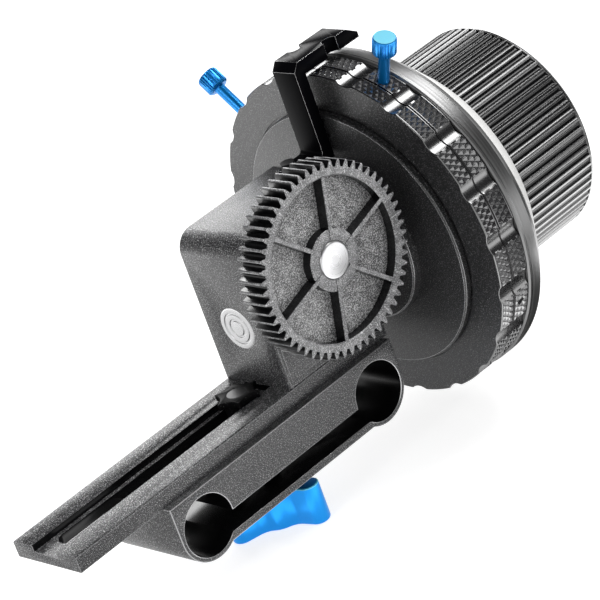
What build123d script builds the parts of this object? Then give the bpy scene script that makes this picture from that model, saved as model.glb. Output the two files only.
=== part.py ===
from build123d import *
import os
from math import acos, atan, cos, degrees, pi, radians, sin, sqrt, tan

# Follow focus unit on a rod clamp. Lengths are millimetres and angles are degrees.
# The origin is on the left rod bore's axis at the clamp's front face. +X runs along the rail towards
# the hand wheel, +Y runs along the rods away from the drive gear, and +Z is up.

# ---- clearances --------------------------------------------------------------------------------
SLIDING_GAP = 0.1        # between flat faces that slide or turn past each other
RUNNING_FIT = 0.05       # radial, between a turning or sliding shaft and its bore
SEAT_FIT = 0.02          # radial, between a fixed piece and its seat
BODY_GAP = 0.3           # between faces that turn close to each other

# ---- rod clamp ---------------------------------------------------------------------------------
ROD_R = 7.5
ROD_FIT = 0.1
ROD_PITCH = 60.0
BORE_WALL = 1.2
CLAMP_DEPTH = 27.5
CLAMP_TOP_Z = 9.8
CLAMP_SLOT_TOP_Z = -0.6
CLAMP_SLOT_HEIGHT = 4.8
JAW_THICKNESS = 2.0
JAW_FILLET_R = 1.5

# ---- clamp stud, washer, slot nut and lever ------------------------------------------------------
STUD_R = 2.5
STUD_END_DEPTH = 7.5     # of the stud inside the lever
WASHER_R = 6.0
WASHER_THICKNESS = 2.0
NUT_TIP_R = 6.0
NUT_VALLEY_R = 4.2
NUT_VALLEY_CUTTER_R = 5.0
NUT_POINTS = 6
NUT_PHASE = 23.1
NUT_HEAD_HEIGHT = 1.6
NUT_SHANK_LENGTH = 8.4
NUT_LIFT = 0.4           # from the clamp's top face to the nut's shank
LEVER_HUB_R = 6.3
LEVER_WING_REACH = 14.0
LEVER_WING_WIDTH = 5.6
LEVER_WING_COUNT = 3
LEVER_FIRST_WING = 41.6
LEVER_VALLEY_R = 4.0
LEVER_HEIGHT = 10.5
LEVER_EDGE_R = 0.8
LEVER_BORE_SPARE = 0.5

# ---- slide rail --------------------------------------------------------------------------------
RAIL_WIDTH = 23.2
RAIL_THICKNESS = 4.4
RAIL_CHAMFER = 0.4
RAIL_GROOVE_WIDTH = 8.8
RAIL_GROOVE_DEPTH = 1.7
RAIL_SLOT_WIDTH = 6.2
RAIL_SLOT_LENGTH = 65.0
RAIL_SLOT_END = 5.0      # of solid rail left of the slot
RAIL_SLOT_SPARE = 0.3    # between the nut and the slot's right end at rest
RAIL_SLOT_TO_BOX = 2.5

# ---- gearbox housing and cover -----------------------------------------------------------------
BOX_LENGTH = 35.0
BOX_HEIGHT = 39.7
BOX_OVERHANG = 2.0       # past the rail's right end
BOX_ROUND_R = 5.2
BOX_EDGE = 0.4
LEFT_WALL = 5.3
RIGHT_WALL = 5.0
BACK_WALL = 3.3
TOP_WALL = 1.8
FLOOR = 5.7
CAVITY_CORNER_R = 1.5
COVER_THICKNESS = 3.0
COVER_RIM = 1.3          # of housing showing round the cover
PLUG_R = 5.64
PLUG_THICKNESS = 1.2
PLUG_RINGS = (4.4, 2.6)  # radii of the turned grooves in the plug's face
PLUG_RING_WIDTH = 0.4
PLUG_RING_DEPTH = 0.25
SHAFT_WINDOW_R = 5.0     # hole behind the plug

# ---- shafts and bearings -----------------------------------------------------------------------
HAND_AXIS_HEIGHT = 15.56       # above the gearbox's base
OUTPUT_AXIS_SETBACK = 13.53    # from the gearbox's left face
HAND_SHAFT_R = 4.0
HAND_BEARING_R = 7.0
HAND_BEARING_WIDTH = 3.5
OUTPUT_JOURNAL_R = 3.0
OUTPUT_BEARING_R = 5.0
OUTPUT_BEARING_WIDTH = 2.5
OUTPUT_LIP_R = 3.6             # hole in the cover in front of the bearing
BEARING_RACE = 0.9
BEARING_SHIELD_DEPTH = 0.25
CLIP_WIDTH = 0.8
CLIP_DEPTH = 0.4               # of the shaft's groove
CLIP_R = 1.6                   # how far a retaining ring stands out of its groove
CLIP_OPENING = 3.0
CLIP_CUT_SPARE = 0.5           # of the opening's cutter past the ring
SHAFT_END_GAP = 0.3

# ---- screw gears at right angles ---------------------------------------------------------------
SCREW_GEAR_TEETH = 10
SCREW_GEAR_MODULE = 1.0        # in the section square to the teeth
SCREW_GEAR_HELIX = 45.0
PRESSURE_ANGLE = 20.0
SCREW_GEAR_LENGTH = 10.0
SCREW_GEAR_ADDENDUM = 0.75
SCREW_GEAR_DEDENDUM = 1.2
SCREW_GEAR_BACKLASH = 0.34
FLANK_SPANS = 3                # between the points that a tooth's flank is drawn through

# ---- drive gear --------------------------------------------------------------------------------
DRIVE_TEETH = 57
DRIVE_MODULE = 0.8
DRIVE_DEDENDUM = 1.0
DRIVE_BACKLASH = 0.1
DRIVE_WIDTH = 7.94
DRIVE_RIM = 2.0                # from the tooth roots to the web recess
DRIVE_WEB = 2.4
DRIVE_FRONT_RECESS = 3.0
DRIVE_HUB_R = 7.6
DRIVE_RIBS = 6
DRIVE_RIB_WIDTH = 1.1
DRIVE_FIRST_RIB = 16.3
SHAFT_NOSE_R = 4.57
SPACER_R = 7.5
SPACER_LENGTH = 7.7
NOSE_CHAMFER = 0.3

# ---- bearing boss and wheel hub ----------------------------------------------------------------
BOSS_R = 16.0
BOSS_LENGTH = 5.0
BOSS_CHAMFER = 0.6
SPIGOT_R = 8.4
HUB_COLLAR_R = 20.9
HUB_COLLAR_LENGTH = 2.8
HUB_LIP_OVERHANG = 2.0   # past the drum
HUB_LIP_LENGTH = 1.9
HUB_EDGE = 0.4

# ---- stop rings --------------------------------------------------------------------------------
RING_R = 44.7
RING_DEPTH = 11.7              # from the outside to the bore, without the running fit
RING_A_WIDTH = 4.5
RING_B_WIDTH = 5.3
RING_EDGE = 0.4
RING_GROOVES = 20
RING_GROOVE_DEPTH = 0.9
RING_GROOVE_CUTTER_R = 4.35
RING_GROOVE_PHASE = 178.2
RING_STEP_GAP = 0.6            # round the hub's lip, of the recess in ring A's back face
RING_STEP_DEPTH = 0.3

# ---- dial plate, marking disc and knob -----------------------------------------------------------
DIAL_OVERHANG = 0.3            # past the stop rings
DIAL_RIM_WIDTH = 4.1
DIAL_WIDTH = 6.75
DIAL_BEVEL_DROP = 2.15
MARKING_WIDTH = 8.35
MARKING_DROP = 8.25            # from the cone's large end to its small one
MARKING_WALL = 2.0
MARKING_BORE_GAP = 0.4
KNOB_CLEARANCE = 5.3           # from the knob to the cone's small end
KNOB_LENGTH = 39.15
KNOB_FLUTE_PITCH = 2.55        # round the knob's outside, made to come out even
KNOB_FLUTE_CUTTER_R = 1.15
KNOB_FLUTE_DEPTH = 0.5
KNOB_FLUTE_PHASE = 2.0
KNOB_END_CHAMFER = 1.2
KNOB_WALL = 6.3
KNOB_WEB = 5.15
KNOB_CAP_INSET = 4.3           # from the knob's outside
KNOB_CAP_THICKNESS = 3.0
KNOB_CAP_SETBACK = 1.2
KNOB_CAP_DISH = 0.8
KNOB_CAP_RIM = 3.2

# ---- index arm ---------------------------------------------------------------------------------
ARM_WIDTH = 8.0
ARM_THICKNESS = 3.25
ARM_STANDOFF = 4.0       # from the housing's right face
ARM_CLEARANCE = 1.69     # over the dial plate
ARM_PLATE_THICKNESS = 3.75
ARM_TIP_SETBACK = 0.25   # from the marking disc
ARM_BEVEL_LENGTH = 3.6
ARM_BEVEL_DROP = 2.3
ARM_CORNER_LENGTH = 1.8
ARM_CORNER_DROP = 2.1
ARM_FOOT_LENGTH = 9.0
ARM_FOOT_THICKNESS = 2.0
ARM_FOOT_FILLET_R = 1.1
ARM_NOTCH_R = 2.05

# ---- thumb screws in the stop rings --------------------------------------------------------------
THUMB_SHANK_R = 1.45
THUMB_SHANK_LENGTH = 17.6
THUMB_HEAD_R = 3.0
THUMB_HEAD_LENGTH = 5.0
THUMB_HEAD_EDGE = 0.5
THUMB_A_ANGLE = 45.26
THUMB_A_TIP_GAP = 2.4          # from the hub's drum
THUMB_B_ANGLE = 114.7
THUMB_B_TIP_GAP = 2.0

# ---- small screws --------------------------------------------------------------------------------
RAIL_SCREW = dict(head_r=3.0, shank_r=1.5, length=8.0)
RAIL_SCREW_SPACING = (24.0, 12.0)
COVER_SCREW = dict(head_r=1.9, shank_r=1.0, length=4.5)
COVER_SCREW_INSET = 3.6        # from the housing's left and right faces
COVER_SCREW_DROPS = ((4.5, 28.0), (4.5, 33.0))   # left and right, from the housing's top
BOSS_SCREW = dict(head_r=2.4, shank_r=1.25, length=9.0)
BOSS_SCREW_CIRCLE_R = 13.0
BOSS_SCREW_ANGLES = (60, 120, 240, 300)
WHEEL_SCREW = dict(head_r=2.9, shank_r=1.5, length=17.0)
WHEEL_SCREW_INSET = 8.0        # from the knob's bore
WHEEL_SCREW_COUNT = 3
CAP_SCREW = dict(head_r=3.6, shank_r=2.0, length=10.0)
ARM_SCREW_HEAD_R = 1.8
ARM_SCREW_HEAD_HEIGHT = 1.2
ARM_SCREW_R = 1.0
ARM_SCREW_LENGTH = 6.0         # below the head
ARM_SCREW_SPACING = 4.4
ARM_SCREW_INSET = 2.6          # from the foot's left end
HUB_GRUB_R = 1.5
HUB_GRUB_LENGTH = 8.0
HUB_GRUB_ANGLE = 315.0
HUB_GRUB_SHIFT = 0.75          # from the middle of the collar towards the lip
RING_GRUB_R = 1.0
RING_GRUB_LENGTH = 6.0
RING_GRUB_DEPTH = 0.6
RING_GRUB_ANGLE = 204.4

# ---- places worked out from the sizes ------------------------------------------------------------
BORE_R = ROD_R + ROD_FIT
CLAMP_R = BORE_R + BORE_WALL
MID_Y = CLAMP_DEPTH / 2
STUD_X = ROD_PITCH / 2
JAW_TOP_Z = CLAMP_SLOT_TOP_Z - CLAMP_SLOT_HEIGHT
JAW_BOTTOM_Z = JAW_TOP_Z - JAW_THICKNESS
WASHER_BOTTOM_Z = JAW_BOTTOM_Z - WASHER_THICKNESS
LEVER_TOP_Z = WASHER_BOTTOM_Z - SLIDING_GAP
LEVER_BOTTOM_Z = LEVER_TOP_Z - LEVER_HEIGHT
STUD_BOTTOM_Z = LEVER_TOP_Z - STUD_END_DEPTH

RAIL_BOTTOM_Z = CLAMP_TOP_Z + SLIDING_GAP
RAIL_TOP_Z = RAIL_BOTTOM_Z + RAIL_THICKNESS
FRONT_Y = MID_Y - RAIL_WIDTH / 2
BACK_Y = MID_Y + RAIL_WIDTH / 2
NUT_SHANK_WIDTH = RAIL_SLOT_WIDTH - 2 * SLIDING_GAP
SLOT_RIGHT_X = STUD_X + NUT_SHANK_LENGTH / 2 + RAIL_SLOT_SPARE
SLOT_LEFT_X = SLOT_RIGHT_X - RAIL_SLOT_LENGTH
RAIL_LEFT_X = SLOT_LEFT_X - RAIL_SLOT_END
NUT_HEAD_Z = RAIL_TOP_Z + SLIDING_GAP
NUT_TOP_Z = NUT_HEAD_Z + NUT_HEAD_HEIGHT

BOX_LEFT_X = SLOT_RIGHT_X + RAIL_SLOT_TO_BOX
BOX_RIGHT_X = BOX_LEFT_X + BOX_LENGTH
RAIL_RIGHT_X = BOX_RIGHT_X - BOX_OVERHANG
BOX_TOP_Z = RAIL_TOP_Z + BOX_HEIGHT
CAVITY_LEFT_X = BOX_LEFT_X + LEFT_WALL
CAVITY_RIGHT_X = BOX_RIGHT_X - RIGHT_WALL
CAVITY_BOTTOM_Z = RAIL_TOP_Z + FLOOR
CAVITY_TOP_Z = BOX_TOP_Z - TOP_WALL
CAVITY_BACK_Y = BACK_Y - BACK_WALL
COVER_BACK_Y = FRONT_Y + COVER_THICKNESS

HAND_Z = RAIL_TOP_Z + HAND_AXIS_HEIGHT
OUTPUT_X = BOX_LEFT_X + OUTPUT_AXIS_SETBACK
TRANSVERSE_MODULE = SCREW_GEAR_MODULE / cos(radians(SCREW_GEAR_HELIX))
TRANSVERSE_PRESSURE = degrees(atan(tan(radians(PRESSURE_ANGLE)) / cos(radians(SCREW_GEAR_HELIX))))
SCREW_GEAR_PITCH_R = SCREW_GEAR_TEETH * TRANSVERSE_MODULE / 2
SCREW_GEAR_TWIST = degrees(SCREW_GEAR_LENGTH * tan(radians(SCREW_GEAR_HELIX)) / SCREW_GEAR_PITCH_R)
OUTPUT_Z = HAND_Z + 2 * SCREW_GEAR_PITCH_R

LEFT_BEARING_X = CAVITY_LEFT_X - HAND_BEARING_WIDTH
SHAFT_LEFT_X = BOX_LEFT_X + PLUG_THICKNESS + SHAFT_END_GAP
BOSS_RIGHT_X = BOX_RIGHT_X + BOSS_LENGTH
RIGHT_BEARING_X = BOSS_RIGHT_X - HAND_BEARING_WIDTH
FRONT_BEARING_Y = COVER_BACK_Y - OUTPUT_BEARING_WIDTH
REAR_BEARING_Y = CAVITY_BACK_Y
SHOULDER_Y = FRONT_Y - BODY_GAP
GEAR_BACK_Y = SHOULDER_Y - SPACER_LENGTH
GEAR_FRONT_Y = GEAR_BACK_Y - DRIVE_WIDTH

HUB_X = BOSS_RIGHT_X + BODY_GAP
LIP_X = HUB_X + HUB_COLLAR_LENGTH
DRUM_X = LIP_X + HUB_LIP_LENGTH
RING_A_X = DRUM_X + SLIDING_GAP
RING_B_X = RING_A_X + RING_A_WIDTH + SLIDING_GAP
DIAL_X = RING_B_X + RING_B_WIDTH + SLIDING_GAP
KNOB_X = DIAL_X + DIAL_WIDTH
KNOB_RIGHT_X = KNOB_X + KNOB_LENGTH
CAP_FACE_X = KNOB_RIGHT_X - KNOB_CAP_SETBACK
CAP_BACK_X = CAP_FACE_X - KNOB_CAP_THICKNESS
HUB_DRUM_R = RING_R - RING_DEPTH
HUB_LIP_R = HUB_DRUM_R + HUB_LIP_OVERHANG
RING_STEP_R = HUB_LIP_R + RING_STEP_GAP
RING_BORE_R = HUB_DRUM_R + RUNNING_FIT
DIAL_R = RING_R + DIAL_OVERHANG
DIAL_FRONT_R = DIAL_R - DIAL_BEVEL_DROP
MARKING_SMALL_R = DIAL_FRONT_R - MARKING_DROP
KNOB_R = MARKING_SMALL_R - KNOB_CLEARANCE
KNOB_FLUTES = round(2 * pi * KNOB_R / KNOB_FLUTE_PITCH)
KNOB_BORE_R = KNOB_R - KNOB_WALL
KNOB_CAP_R = KNOB_R - KNOB_CAP_INSET
WHEEL_SCREW_CIRCLE_R = KNOB_BORE_R - WHEEL_SCREW_INSET
THUMB_A_X = RING_A_X + RING_A_WIDTH / 2
THUMB_B_X = RING_B_X + RING_B_WIDTH / 2

ARM_FRONT_X = BOX_RIGHT_X + ARM_STANDOFF
ARM_FOOT_X = ARM_FRONT_X - ARM_FOOT_LENGTH
ARM_BACK_X = ARM_FRONT_X + ARM_THICKNESS
ARM_PLATE_Z = HAND_Z + DIAL_R + ARM_CLEARANCE
ARM_TOP_Z = ARM_PLATE_Z + ARM_PLATE_THICKNESS
ARM_TIP_X = KNOB_X - ARM_TIP_SETBACK
ARM_FLAT_END_X = ARM_TIP_X - ARM_BEVEL_LENGTH

BASE = (Align.CENTER, Align.CENTER, Align.MIN)
HAND_PLANE = Plane(origin=(0, MID_Y, HAND_Z), x_dir=(1, 0, 0), z_dir=(0, -1, 0))
HAND_AXIS = Axis((0, MID_Y, HAND_Z), (1, 0, 0))
OUTPUT_PLANE = Plane(origin=(OUTPUT_X, 0, OUTPUT_Z), x_dir=(0, 1, 0), z_dir=(1, 0, 0))
OUTPUT_AXIS = Axis((OUTPUT_X, 0, OUTPUT_Z), (0, 1, 0))


# ---- simple forms ------------------------------------------------------------------------------
def bar_x(radius, start, end, y=MID_Y, z=HAND_Z):
    """Round bar along X."""
    return Pos(start, y, z) * Rot(0, 90, 0) * Cylinder(radius, end - start, align=BASE)


def bar_y(radius, start, end, x=OUTPUT_X, z=OUTPUT_Z):
    """Round bar along Y."""
    return Pos(x, start, z) * Rot(-90, 0, 0) * Cylinder(radius, end - start, align=BASE)


def bar_z(radius, start, end, x=STUD_X, y=MID_Y):
    """Round bar along Z."""
    return Pos(x, y, start) * Cylinder(radius, end - start, align=BASE)


def block(x_span, y_span, z_span):
    """Rectangular block between two values on each axis."""
    spans = (x_span, y_span, z_span)
    low, size = [s[0] for s in spans], [s[1] - s[0] for s in spans]
    return Pos(*low) * Box(*size, align=(Align.MIN, Align.MIN, Align.MIN))


def slab_y(sketch, start, end):
    """Extrude a sketch, drawn with X to the right and Z up, from one Y to another."""
    return extrude(Plane.XZ.offset(-end) * sketch, end - start)


def slab_z(sketch, start, end):
    """Extrude a sketch, drawn in X and Y, from one height to another."""
    return extrude(Pos(0, 0, start) * sketch, end - start)


def hand_turned(*points):
    """Turn (x, radius) points about the hand axis."""
    return revolve(HAND_PLANE * make_face(Polyline(*points, close=True)), HAND_AXIS)


def output_turned(*points):
    """Turn (y, radius) points about the output axis."""
    return revolve(OUTPUT_PLANE * make_face(Polyline(*points, close=True)), OUTPUT_AXIS)


def radial_place(x, angle):
    """Place whose Z axis points out from the hand axis, at an angle from +Y towards +Z."""
    return Pos(x, MID_Y, HAND_Z) * Rot(angle - 90, 0, 0)


def countersunk(places, head_r, shank_r, length, fit=0.0):
    """Countersunk screws with their heads facing local +Z, or their holes when a fit is given."""
    cone = head_r - shank_r
    screw = Cylinder(shank_r + fit, length + fit, align=(Align.CENTER, Align.CENTER, Align.MAX))
    head = Cone(shank_r + fit, head_r + fit, cone, align=(Align.CENTER, Align.CENTER, Align.MAX))
    return [place * (screw + head) for place in places]


def bearing_points(start, width, bore_r, outer_r):
    """Section of a shielded ball bearing: two races with a sunk shield between them."""
    inner, outer = bore_r + BEARING_RACE, outer_r - BEARING_RACE
    left, right = start + BEARING_SHIELD_DEPTH, start + width - BEARING_SHIELD_DEPTH
    end = start + width
    return [
        (start, bore_r), (start, inner), (left, inner), (left, outer), (start, outer), (start, outer_r),
        (end, outer_r), (end, outer), (right, outer), (right, inner), (end, inner), (end, bore_r),
    ]


def retaining_ring(groove_r):
    """Open ring that snaps in a shaft's groove, lying on z = 0."""
    ring = Cylinder(groove_r + CLIP_R, CLIP_WIDTH, align=BASE)
    ring -= Cylinder(groove_r + SEAT_FIT, CLIP_WIDTH, align=BASE)
    opening = Box(2 * (CLIP_R + CLIP_CUT_SPARE), CLIP_OPENING, 2 * CLIP_WIDTH)
    return ring - Pos(groove_r + CLIP_R, 0, 0) * opening


def gear_face(teeth, module, pressure, addendum, dedendum, backlash, phase=0.0):
    """Involute gear outline with a tooth centred on local X, turned by a phase."""
    pitch_r = teeth * module / 2
    base_r = pitch_r * cos(radians(pressure))
    tip_r, root_r = pitch_r + addendum, pitch_r - dedendum

    def involute(radius):
        """Involute function of the pressure angle at a radius."""
        local = acos(min(1.0, base_r / radius))
        return tan(local) - local

    def half_angle(radius):
        """Half of the angle that the tooth fills at a radius."""
        at_pitch = pi / (2 * teeth) - backlash / (2 * pitch_r)
        return at_pitch + involute(pitch_r) - involute(radius)

    def point(radius, angle):
        """Point at a radius and an angle in radians."""
        return (radius * cos(angle), radius * sin(angle))

    start_r = max(root_r, base_r)
    steps = [start_r + (tip_r - start_r) * k / FLANK_SPANS for k in range(FLANK_SPANS + 1)]
    edges = []
    for tooth in range(teeth):
        middle = 2 * pi * tooth / teeth + radians(phase)
        after = middle + 2 * pi / teeth
        rising = [point(r, middle - half_angle(r)) for r in steps]
        falling = [point(r, middle + half_angle(r)) for r in reversed(steps)]
        root_start = point(root_r, middle + half_angle(start_r))
        root_end = point(root_r, after - half_angle(start_r))
        next_flank = point(start_r, after - half_angle(start_r))
        edges += [Spline(*rising), Line(rising[-1], falling[0]), Spline(*falling)]
        if start_r > root_r:
            edges += [Line(falling[-1], root_start), Line(root_start, root_end), Line(root_end, next_flank)]
        else:
            edges += [Line(falling[-1], next_flank)]
    return make_face(edges)


# ---- rod clamp and what is fixed to it -----------------------------------------------------------
def rod_clamp():
    """Two rod bores joined by a slot, with a thin jaw below that the stud pulls up."""
    bores = [Pos(x, 0) * Circle(BORE_R) for x in (0, ROD_PITCH)]
    outline = Sketch() + [Pos(x, 0) * Circle(CLAMP_R) for x in (0, ROD_PITCH)]
    outline += Pos(STUD_X, CLAMP_TOP_Z / 2) * Rectangle(ROD_PITCH + 2 * CLAMP_R, CLAMP_TOP_Z)
    outline += Pos(STUD_X, JAW_BOTTOM_Z / 2) * Rectangle(ROD_PITCH, -JAW_BOTTOM_Z)
    valleys = outline.vertices().filter_by(lambda v: abs(v.Y - JAW_BOTTOM_Z) < SEAT_FIT)
    outline = fillet(valleys, JAW_FILLET_R) - bores
    slot_middle_z = CLAMP_SLOT_TOP_Z - CLAMP_SLOT_HEIGHT / 2
    outline -= Pos(STUD_X, slot_middle_z) * Rectangle(ROD_PITCH, CLAMP_SLOT_HEIGHT)
    body = slab_y(outline, 0, CLAMP_DEPTH)
    return body - bar_z(STUD_R + SEAT_FIT, JAW_BOTTOM_Z, CLAMP_TOP_Z)


def clamp_stud():
    """Threaded stud from the slot nut down into the lever."""
    return bar_z(STUD_R, STUD_BOTTOM_Z, NUT_TOP_Z)


def clamp_washer():
    """Flat washer under the jaw."""
    disc = bar_z(WASHER_R, WASHER_BOTTOM_Z, JAW_BOTTOM_Z)
    return disc - bar_z(STUD_R + SEAT_FIT, WASHER_BOTTOM_Z, JAW_BOTTOM_Z)


def slot_nut():
    """Star-shaped head over the rail, on a round-ended shank that fills the slot's width."""
    valleys = PolarLocations(NUT_VALLEY_R + NUT_VALLEY_CUTTER_R, NUT_POINTS, start_angle=NUT_PHASE)
    head = Circle(NUT_TIP_R) - valleys * Circle(NUT_VALLEY_CUTTER_R)
    place = Pos(STUD_X, MID_Y)
    shank = SlotOverall(NUT_SHANK_LENGTH, NUT_SHANK_WIDTH)
    shank_z = CLAMP_TOP_Z + NUT_LIFT
    nut = slab_z(place * head, NUT_HEAD_Z, NUT_TOP_Z) + slab_z(place * shank, shank_z, NUT_HEAD_Z)
    return nut - bar_z(STUD_R + SEAT_FIT, shank_z, NUT_TOP_Z)


def clamp_lever():
    """Hand knob with round-ended wings and a blind bore for the stud."""
    outline = Sketch() + Circle(LEVER_HUB_R)
    for wing in range(LEVER_WING_COUNT):
        turn = Rot(0, 0, LEVER_FIRST_WING + 360 * wing / LEVER_WING_COUNT)
        length = LEVER_WING_REACH + LEVER_WING_WIDTH / 2
        shift = LEVER_WING_REACH - length / 2
        outline += turn * Pos(shift, 0) * SlotOverall(length, LEVER_WING_WIDTH)
    hub_edge = LEVER_HUB_R + SEAT_FIT
    valleys = outline.vertices().filter_by(lambda v: Vector(v.X, v.Y, 0).length < hub_edge)
    outline = fillet(valleys, LEVER_VALLEY_R)
    body = slab_z(Pos(STUD_X, MID_Y) * outline, LEVER_BOTTOM_Z, LEVER_TOP_Z)
    body = fillet(body.edges().group_by(Axis.Z)[0], LEVER_EDGE_R)
    return body - bar_z(STUD_R + RUNNING_FIT, STUD_BOTTOM_Z - LEVER_BORE_SPARE, LEVER_TOP_Z)


# ---- rail, gearbox and what is fixed to them ------------------------------------------------------
def rail_screw_places():
    """Screws up through the rail into the housing's floor, heads down."""
    middle_x = (BOX_LEFT_X + BOX_RIGHT_X) / 2
    corners = GridLocations(RAIL_SCREW_SPACING[0], RAIL_SCREW_SPACING[1], 2, 2)
    return [Pos(middle_x, MID_Y, RAIL_BOTTOM_Z) * corner * Rot(180, 0, 0) for corner in corners]


def slide_rail():
    """Flat rail with a sunk groove and a long slot for the nut."""
    rail = block((RAIL_LEFT_X, RAIL_RIGHT_X), (FRONT_Y, BACK_Y), (RAIL_BOTTOM_Z, RAIL_TOP_Z))
    long_edges = rail.edges().filter_by(Axis.X).group_by(Axis.Z)[-1]
    rail = chamfer(long_edges, RAIL_CHAMFER)
    groove_half = RAIL_GROOVE_WIDTH / 2
    rail -= block((RAIL_LEFT_X, BOX_LEFT_X), (MID_Y - groove_half, MID_Y + groove_half),
                  (RAIL_TOP_Z - RAIL_GROOVE_DEPTH, RAIL_TOP_Z))
    slot_middle = Pos((SLOT_LEFT_X + SLOT_RIGHT_X) / 2, MID_Y)
    rail -= slab_z(slot_middle * SlotOverall(RAIL_SLOT_LENGTH, RAIL_SLOT_WIDTH), RAIL_BOTTOM_Z, RAIL_TOP_Z)
    return rail - countersunk(rail_screw_places(), **RAIL_SCREW, fit=SEAT_FIT)


def cover_sketch(edge_gap):
    """Outline inside the housing's rim, with the rounded top left corner."""
    left, right = BOX_LEFT_X + COVER_RIM + edge_gap, BOX_RIGHT_X - COVER_RIM - edge_gap
    bottom, top = RAIL_TOP_Z + COVER_RIM + edge_gap, BOX_TOP_Z - COVER_RIM - edge_gap
    outline = Pos((left + right) / 2, (bottom + top) / 2) * Rectangle(right - left, top - bottom)
    corner = outline.vertices().sort_by(lambda v: v.Y - v.X)[-1]
    return fillet(corner, BOX_ROUND_R - COVER_RIM - edge_gap)


def cover_screw_places():
    """Screws from the front through the cover, along the housing's side walls."""
    columns = zip((BOX_LEFT_X + COVER_SCREW_INSET, BOX_RIGHT_X - COVER_SCREW_INSET), COVER_SCREW_DROPS)
    return [Pos(x, FRONT_Y, BOX_TOP_Z - drop) * Rot(90, 0, 0) for x, drops in columns for drop in drops]


def boss_screw_places():
    """Screws through the boss into the housing's right wall."""
    return [radial_place(BOSS_RIGHT_X, angle) * Pos(0, 0, BOSS_SCREW_CIRCLE_R) * Rot(0, 90, 0)
            for angle in BOSS_SCREW_ANGLES]


def arm_screw_places():
    """Screws down through the arm's foot into the housing's right wall."""
    return [Pos(ARM_FOOT_X + ARM_SCREW_INSET, MID_Y + side * ARM_SCREW_SPACING / 2,
                BOX_TOP_Z + ARM_FOOT_THICKNESS) for side in (-1, 1)]


def arm_screw_shanks(fit):
    """Shanks of the arm's screws, or their holes when a fit is given."""
    align = (Align.CENTER, Align.CENTER, Align.MAX)
    return [place * Cylinder(ARM_SCREW_R + fit, ARM_SCREW_LENGTH + fit, align=align)
            for place in arm_screw_places()]


def gearbox_housing():
    """Housing open to the front, with seats for the plug, the bearings and the boss."""
    middle_x, middle_z = (BOX_LEFT_X + BOX_RIGHT_X) / 2, (RAIL_TOP_Z + BOX_TOP_Z) / 2
    outline = Pos(middle_x, middle_z) * Rectangle(BOX_LENGTH, BOX_HEIGHT)
    outline = fillet(outline.vertices().sort_by(lambda v: v.Y - v.X)[-1], BOX_ROUND_R)
    body = slab_y(outline, FRONT_Y, BACK_Y)
    top_edges = body.edges().filter_by(GeomType.LINE).filter_by(Axis.X).group_by(Axis.Z)[-1]
    body = chamfer(top_edges, BOX_EDGE)
    body -= slab_y(cover_sketch(0.0), FRONT_Y, COVER_BACK_Y)
    cavity_middle = Pos((CAVITY_LEFT_X + CAVITY_RIGHT_X) / 2, (CAVITY_BOTTOM_Z + CAVITY_TOP_Z) / 2)
    cavity = cavity_middle * RectangleRounded(CAVITY_RIGHT_X - CAVITY_LEFT_X, CAVITY_TOP_Z - CAVITY_BOTTOM_Z,
                                              CAVITY_CORNER_R)
    body -= slab_y(cavity, COVER_BACK_Y, CAVITY_BACK_Y)
    body -= bar_x(PLUG_R + SEAT_FIT, BOX_LEFT_X, BOX_LEFT_X + PLUG_THICKNESS)
    body -= bar_x(SHAFT_WINDOW_R, BOX_LEFT_X + PLUG_THICKNESS, LEFT_BEARING_X)
    body -= bar_x(HAND_BEARING_R + SEAT_FIT, LEFT_BEARING_X, CAVITY_LEFT_X)
    body -= bar_x(SPIGOT_R + SEAT_FIT, CAVITY_RIGHT_X, BOX_RIGHT_X)
    body -= bar_y(OUTPUT_BEARING_R + SEAT_FIT, REAR_BEARING_Y, REAR_BEARING_Y + OUTPUT_BEARING_WIDTH)
    body -= countersunk(rail_screw_places(), **RAIL_SCREW, fit=SEAT_FIT)
    body -= countersunk(cover_screw_places(), **COVER_SCREW, fit=SEAT_FIT)
    body -= countersunk(boss_screw_places(), **BOSS_SCREW, fit=SEAT_FIT)
    return body - arm_screw_shanks(SEAT_FIT)


def gearbox_cover():
    """Front plate that carries the output shaft's front bearing."""
    cover = slab_y(cover_sketch(SEAT_FIT), FRONT_Y, COVER_BACK_Y)
    cover -= bar_y(OUTPUT_LIP_R, FRONT_Y, FRONT_BEARING_Y)
    cover -= bar_y(OUTPUT_BEARING_R + SEAT_FIT, FRONT_BEARING_Y, COVER_BACK_Y)
    return cover - countersunk(cover_screw_places(), **COVER_SCREW, fit=SEAT_FIT)


def shaft_plug():
    """Round plug flush in the left wall, with turned rings in its face."""
    plug = bar_x(PLUG_R, BOX_LEFT_X, BOX_LEFT_X + PLUG_THICKNESS)
    for radius in PLUG_RINGS:
        ring_end = BOX_LEFT_X + PLUG_RING_DEPTH
        groove = bar_x(radius, BOX_LEFT_X, ring_end) - bar_x(radius - PLUG_RING_WIDTH, BOX_LEFT_X, ring_end)
        plug -= groove
    return plug


def bearing_boss():
    """Round boss with a spigot in the housing's right wall and a seat for the right bearing."""
    seat_r = HAND_BEARING_R + SEAT_FIT
    boss = hand_turned(
        (CAVITY_RIGHT_X, SHAFT_WINDOW_R), (CAVITY_RIGHT_X, SPIGOT_R), (BOX_RIGHT_X, SPIGOT_R),
        (BOX_RIGHT_X, BOSS_R), (BOSS_RIGHT_X - BOSS_CHAMFER, BOSS_R), (BOSS_RIGHT_X, BOSS_R - BOSS_CHAMFER),
        (BOSS_RIGHT_X, seat_r), (RIGHT_BEARING_X, seat_r), (RIGHT_BEARING_X, SHAFT_WINDOW_R),
    )
    return boss - countersunk(boss_screw_places(), **BOSS_SCREW, fit=SEAT_FIT)


def hand_bearing(start):
    """Ball bearing of the hand shaft."""
    return hand_turned(*bearing_points(start, HAND_BEARING_WIDTH, HAND_SHAFT_R + RUNNING_FIT, HAND_BEARING_R))


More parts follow.
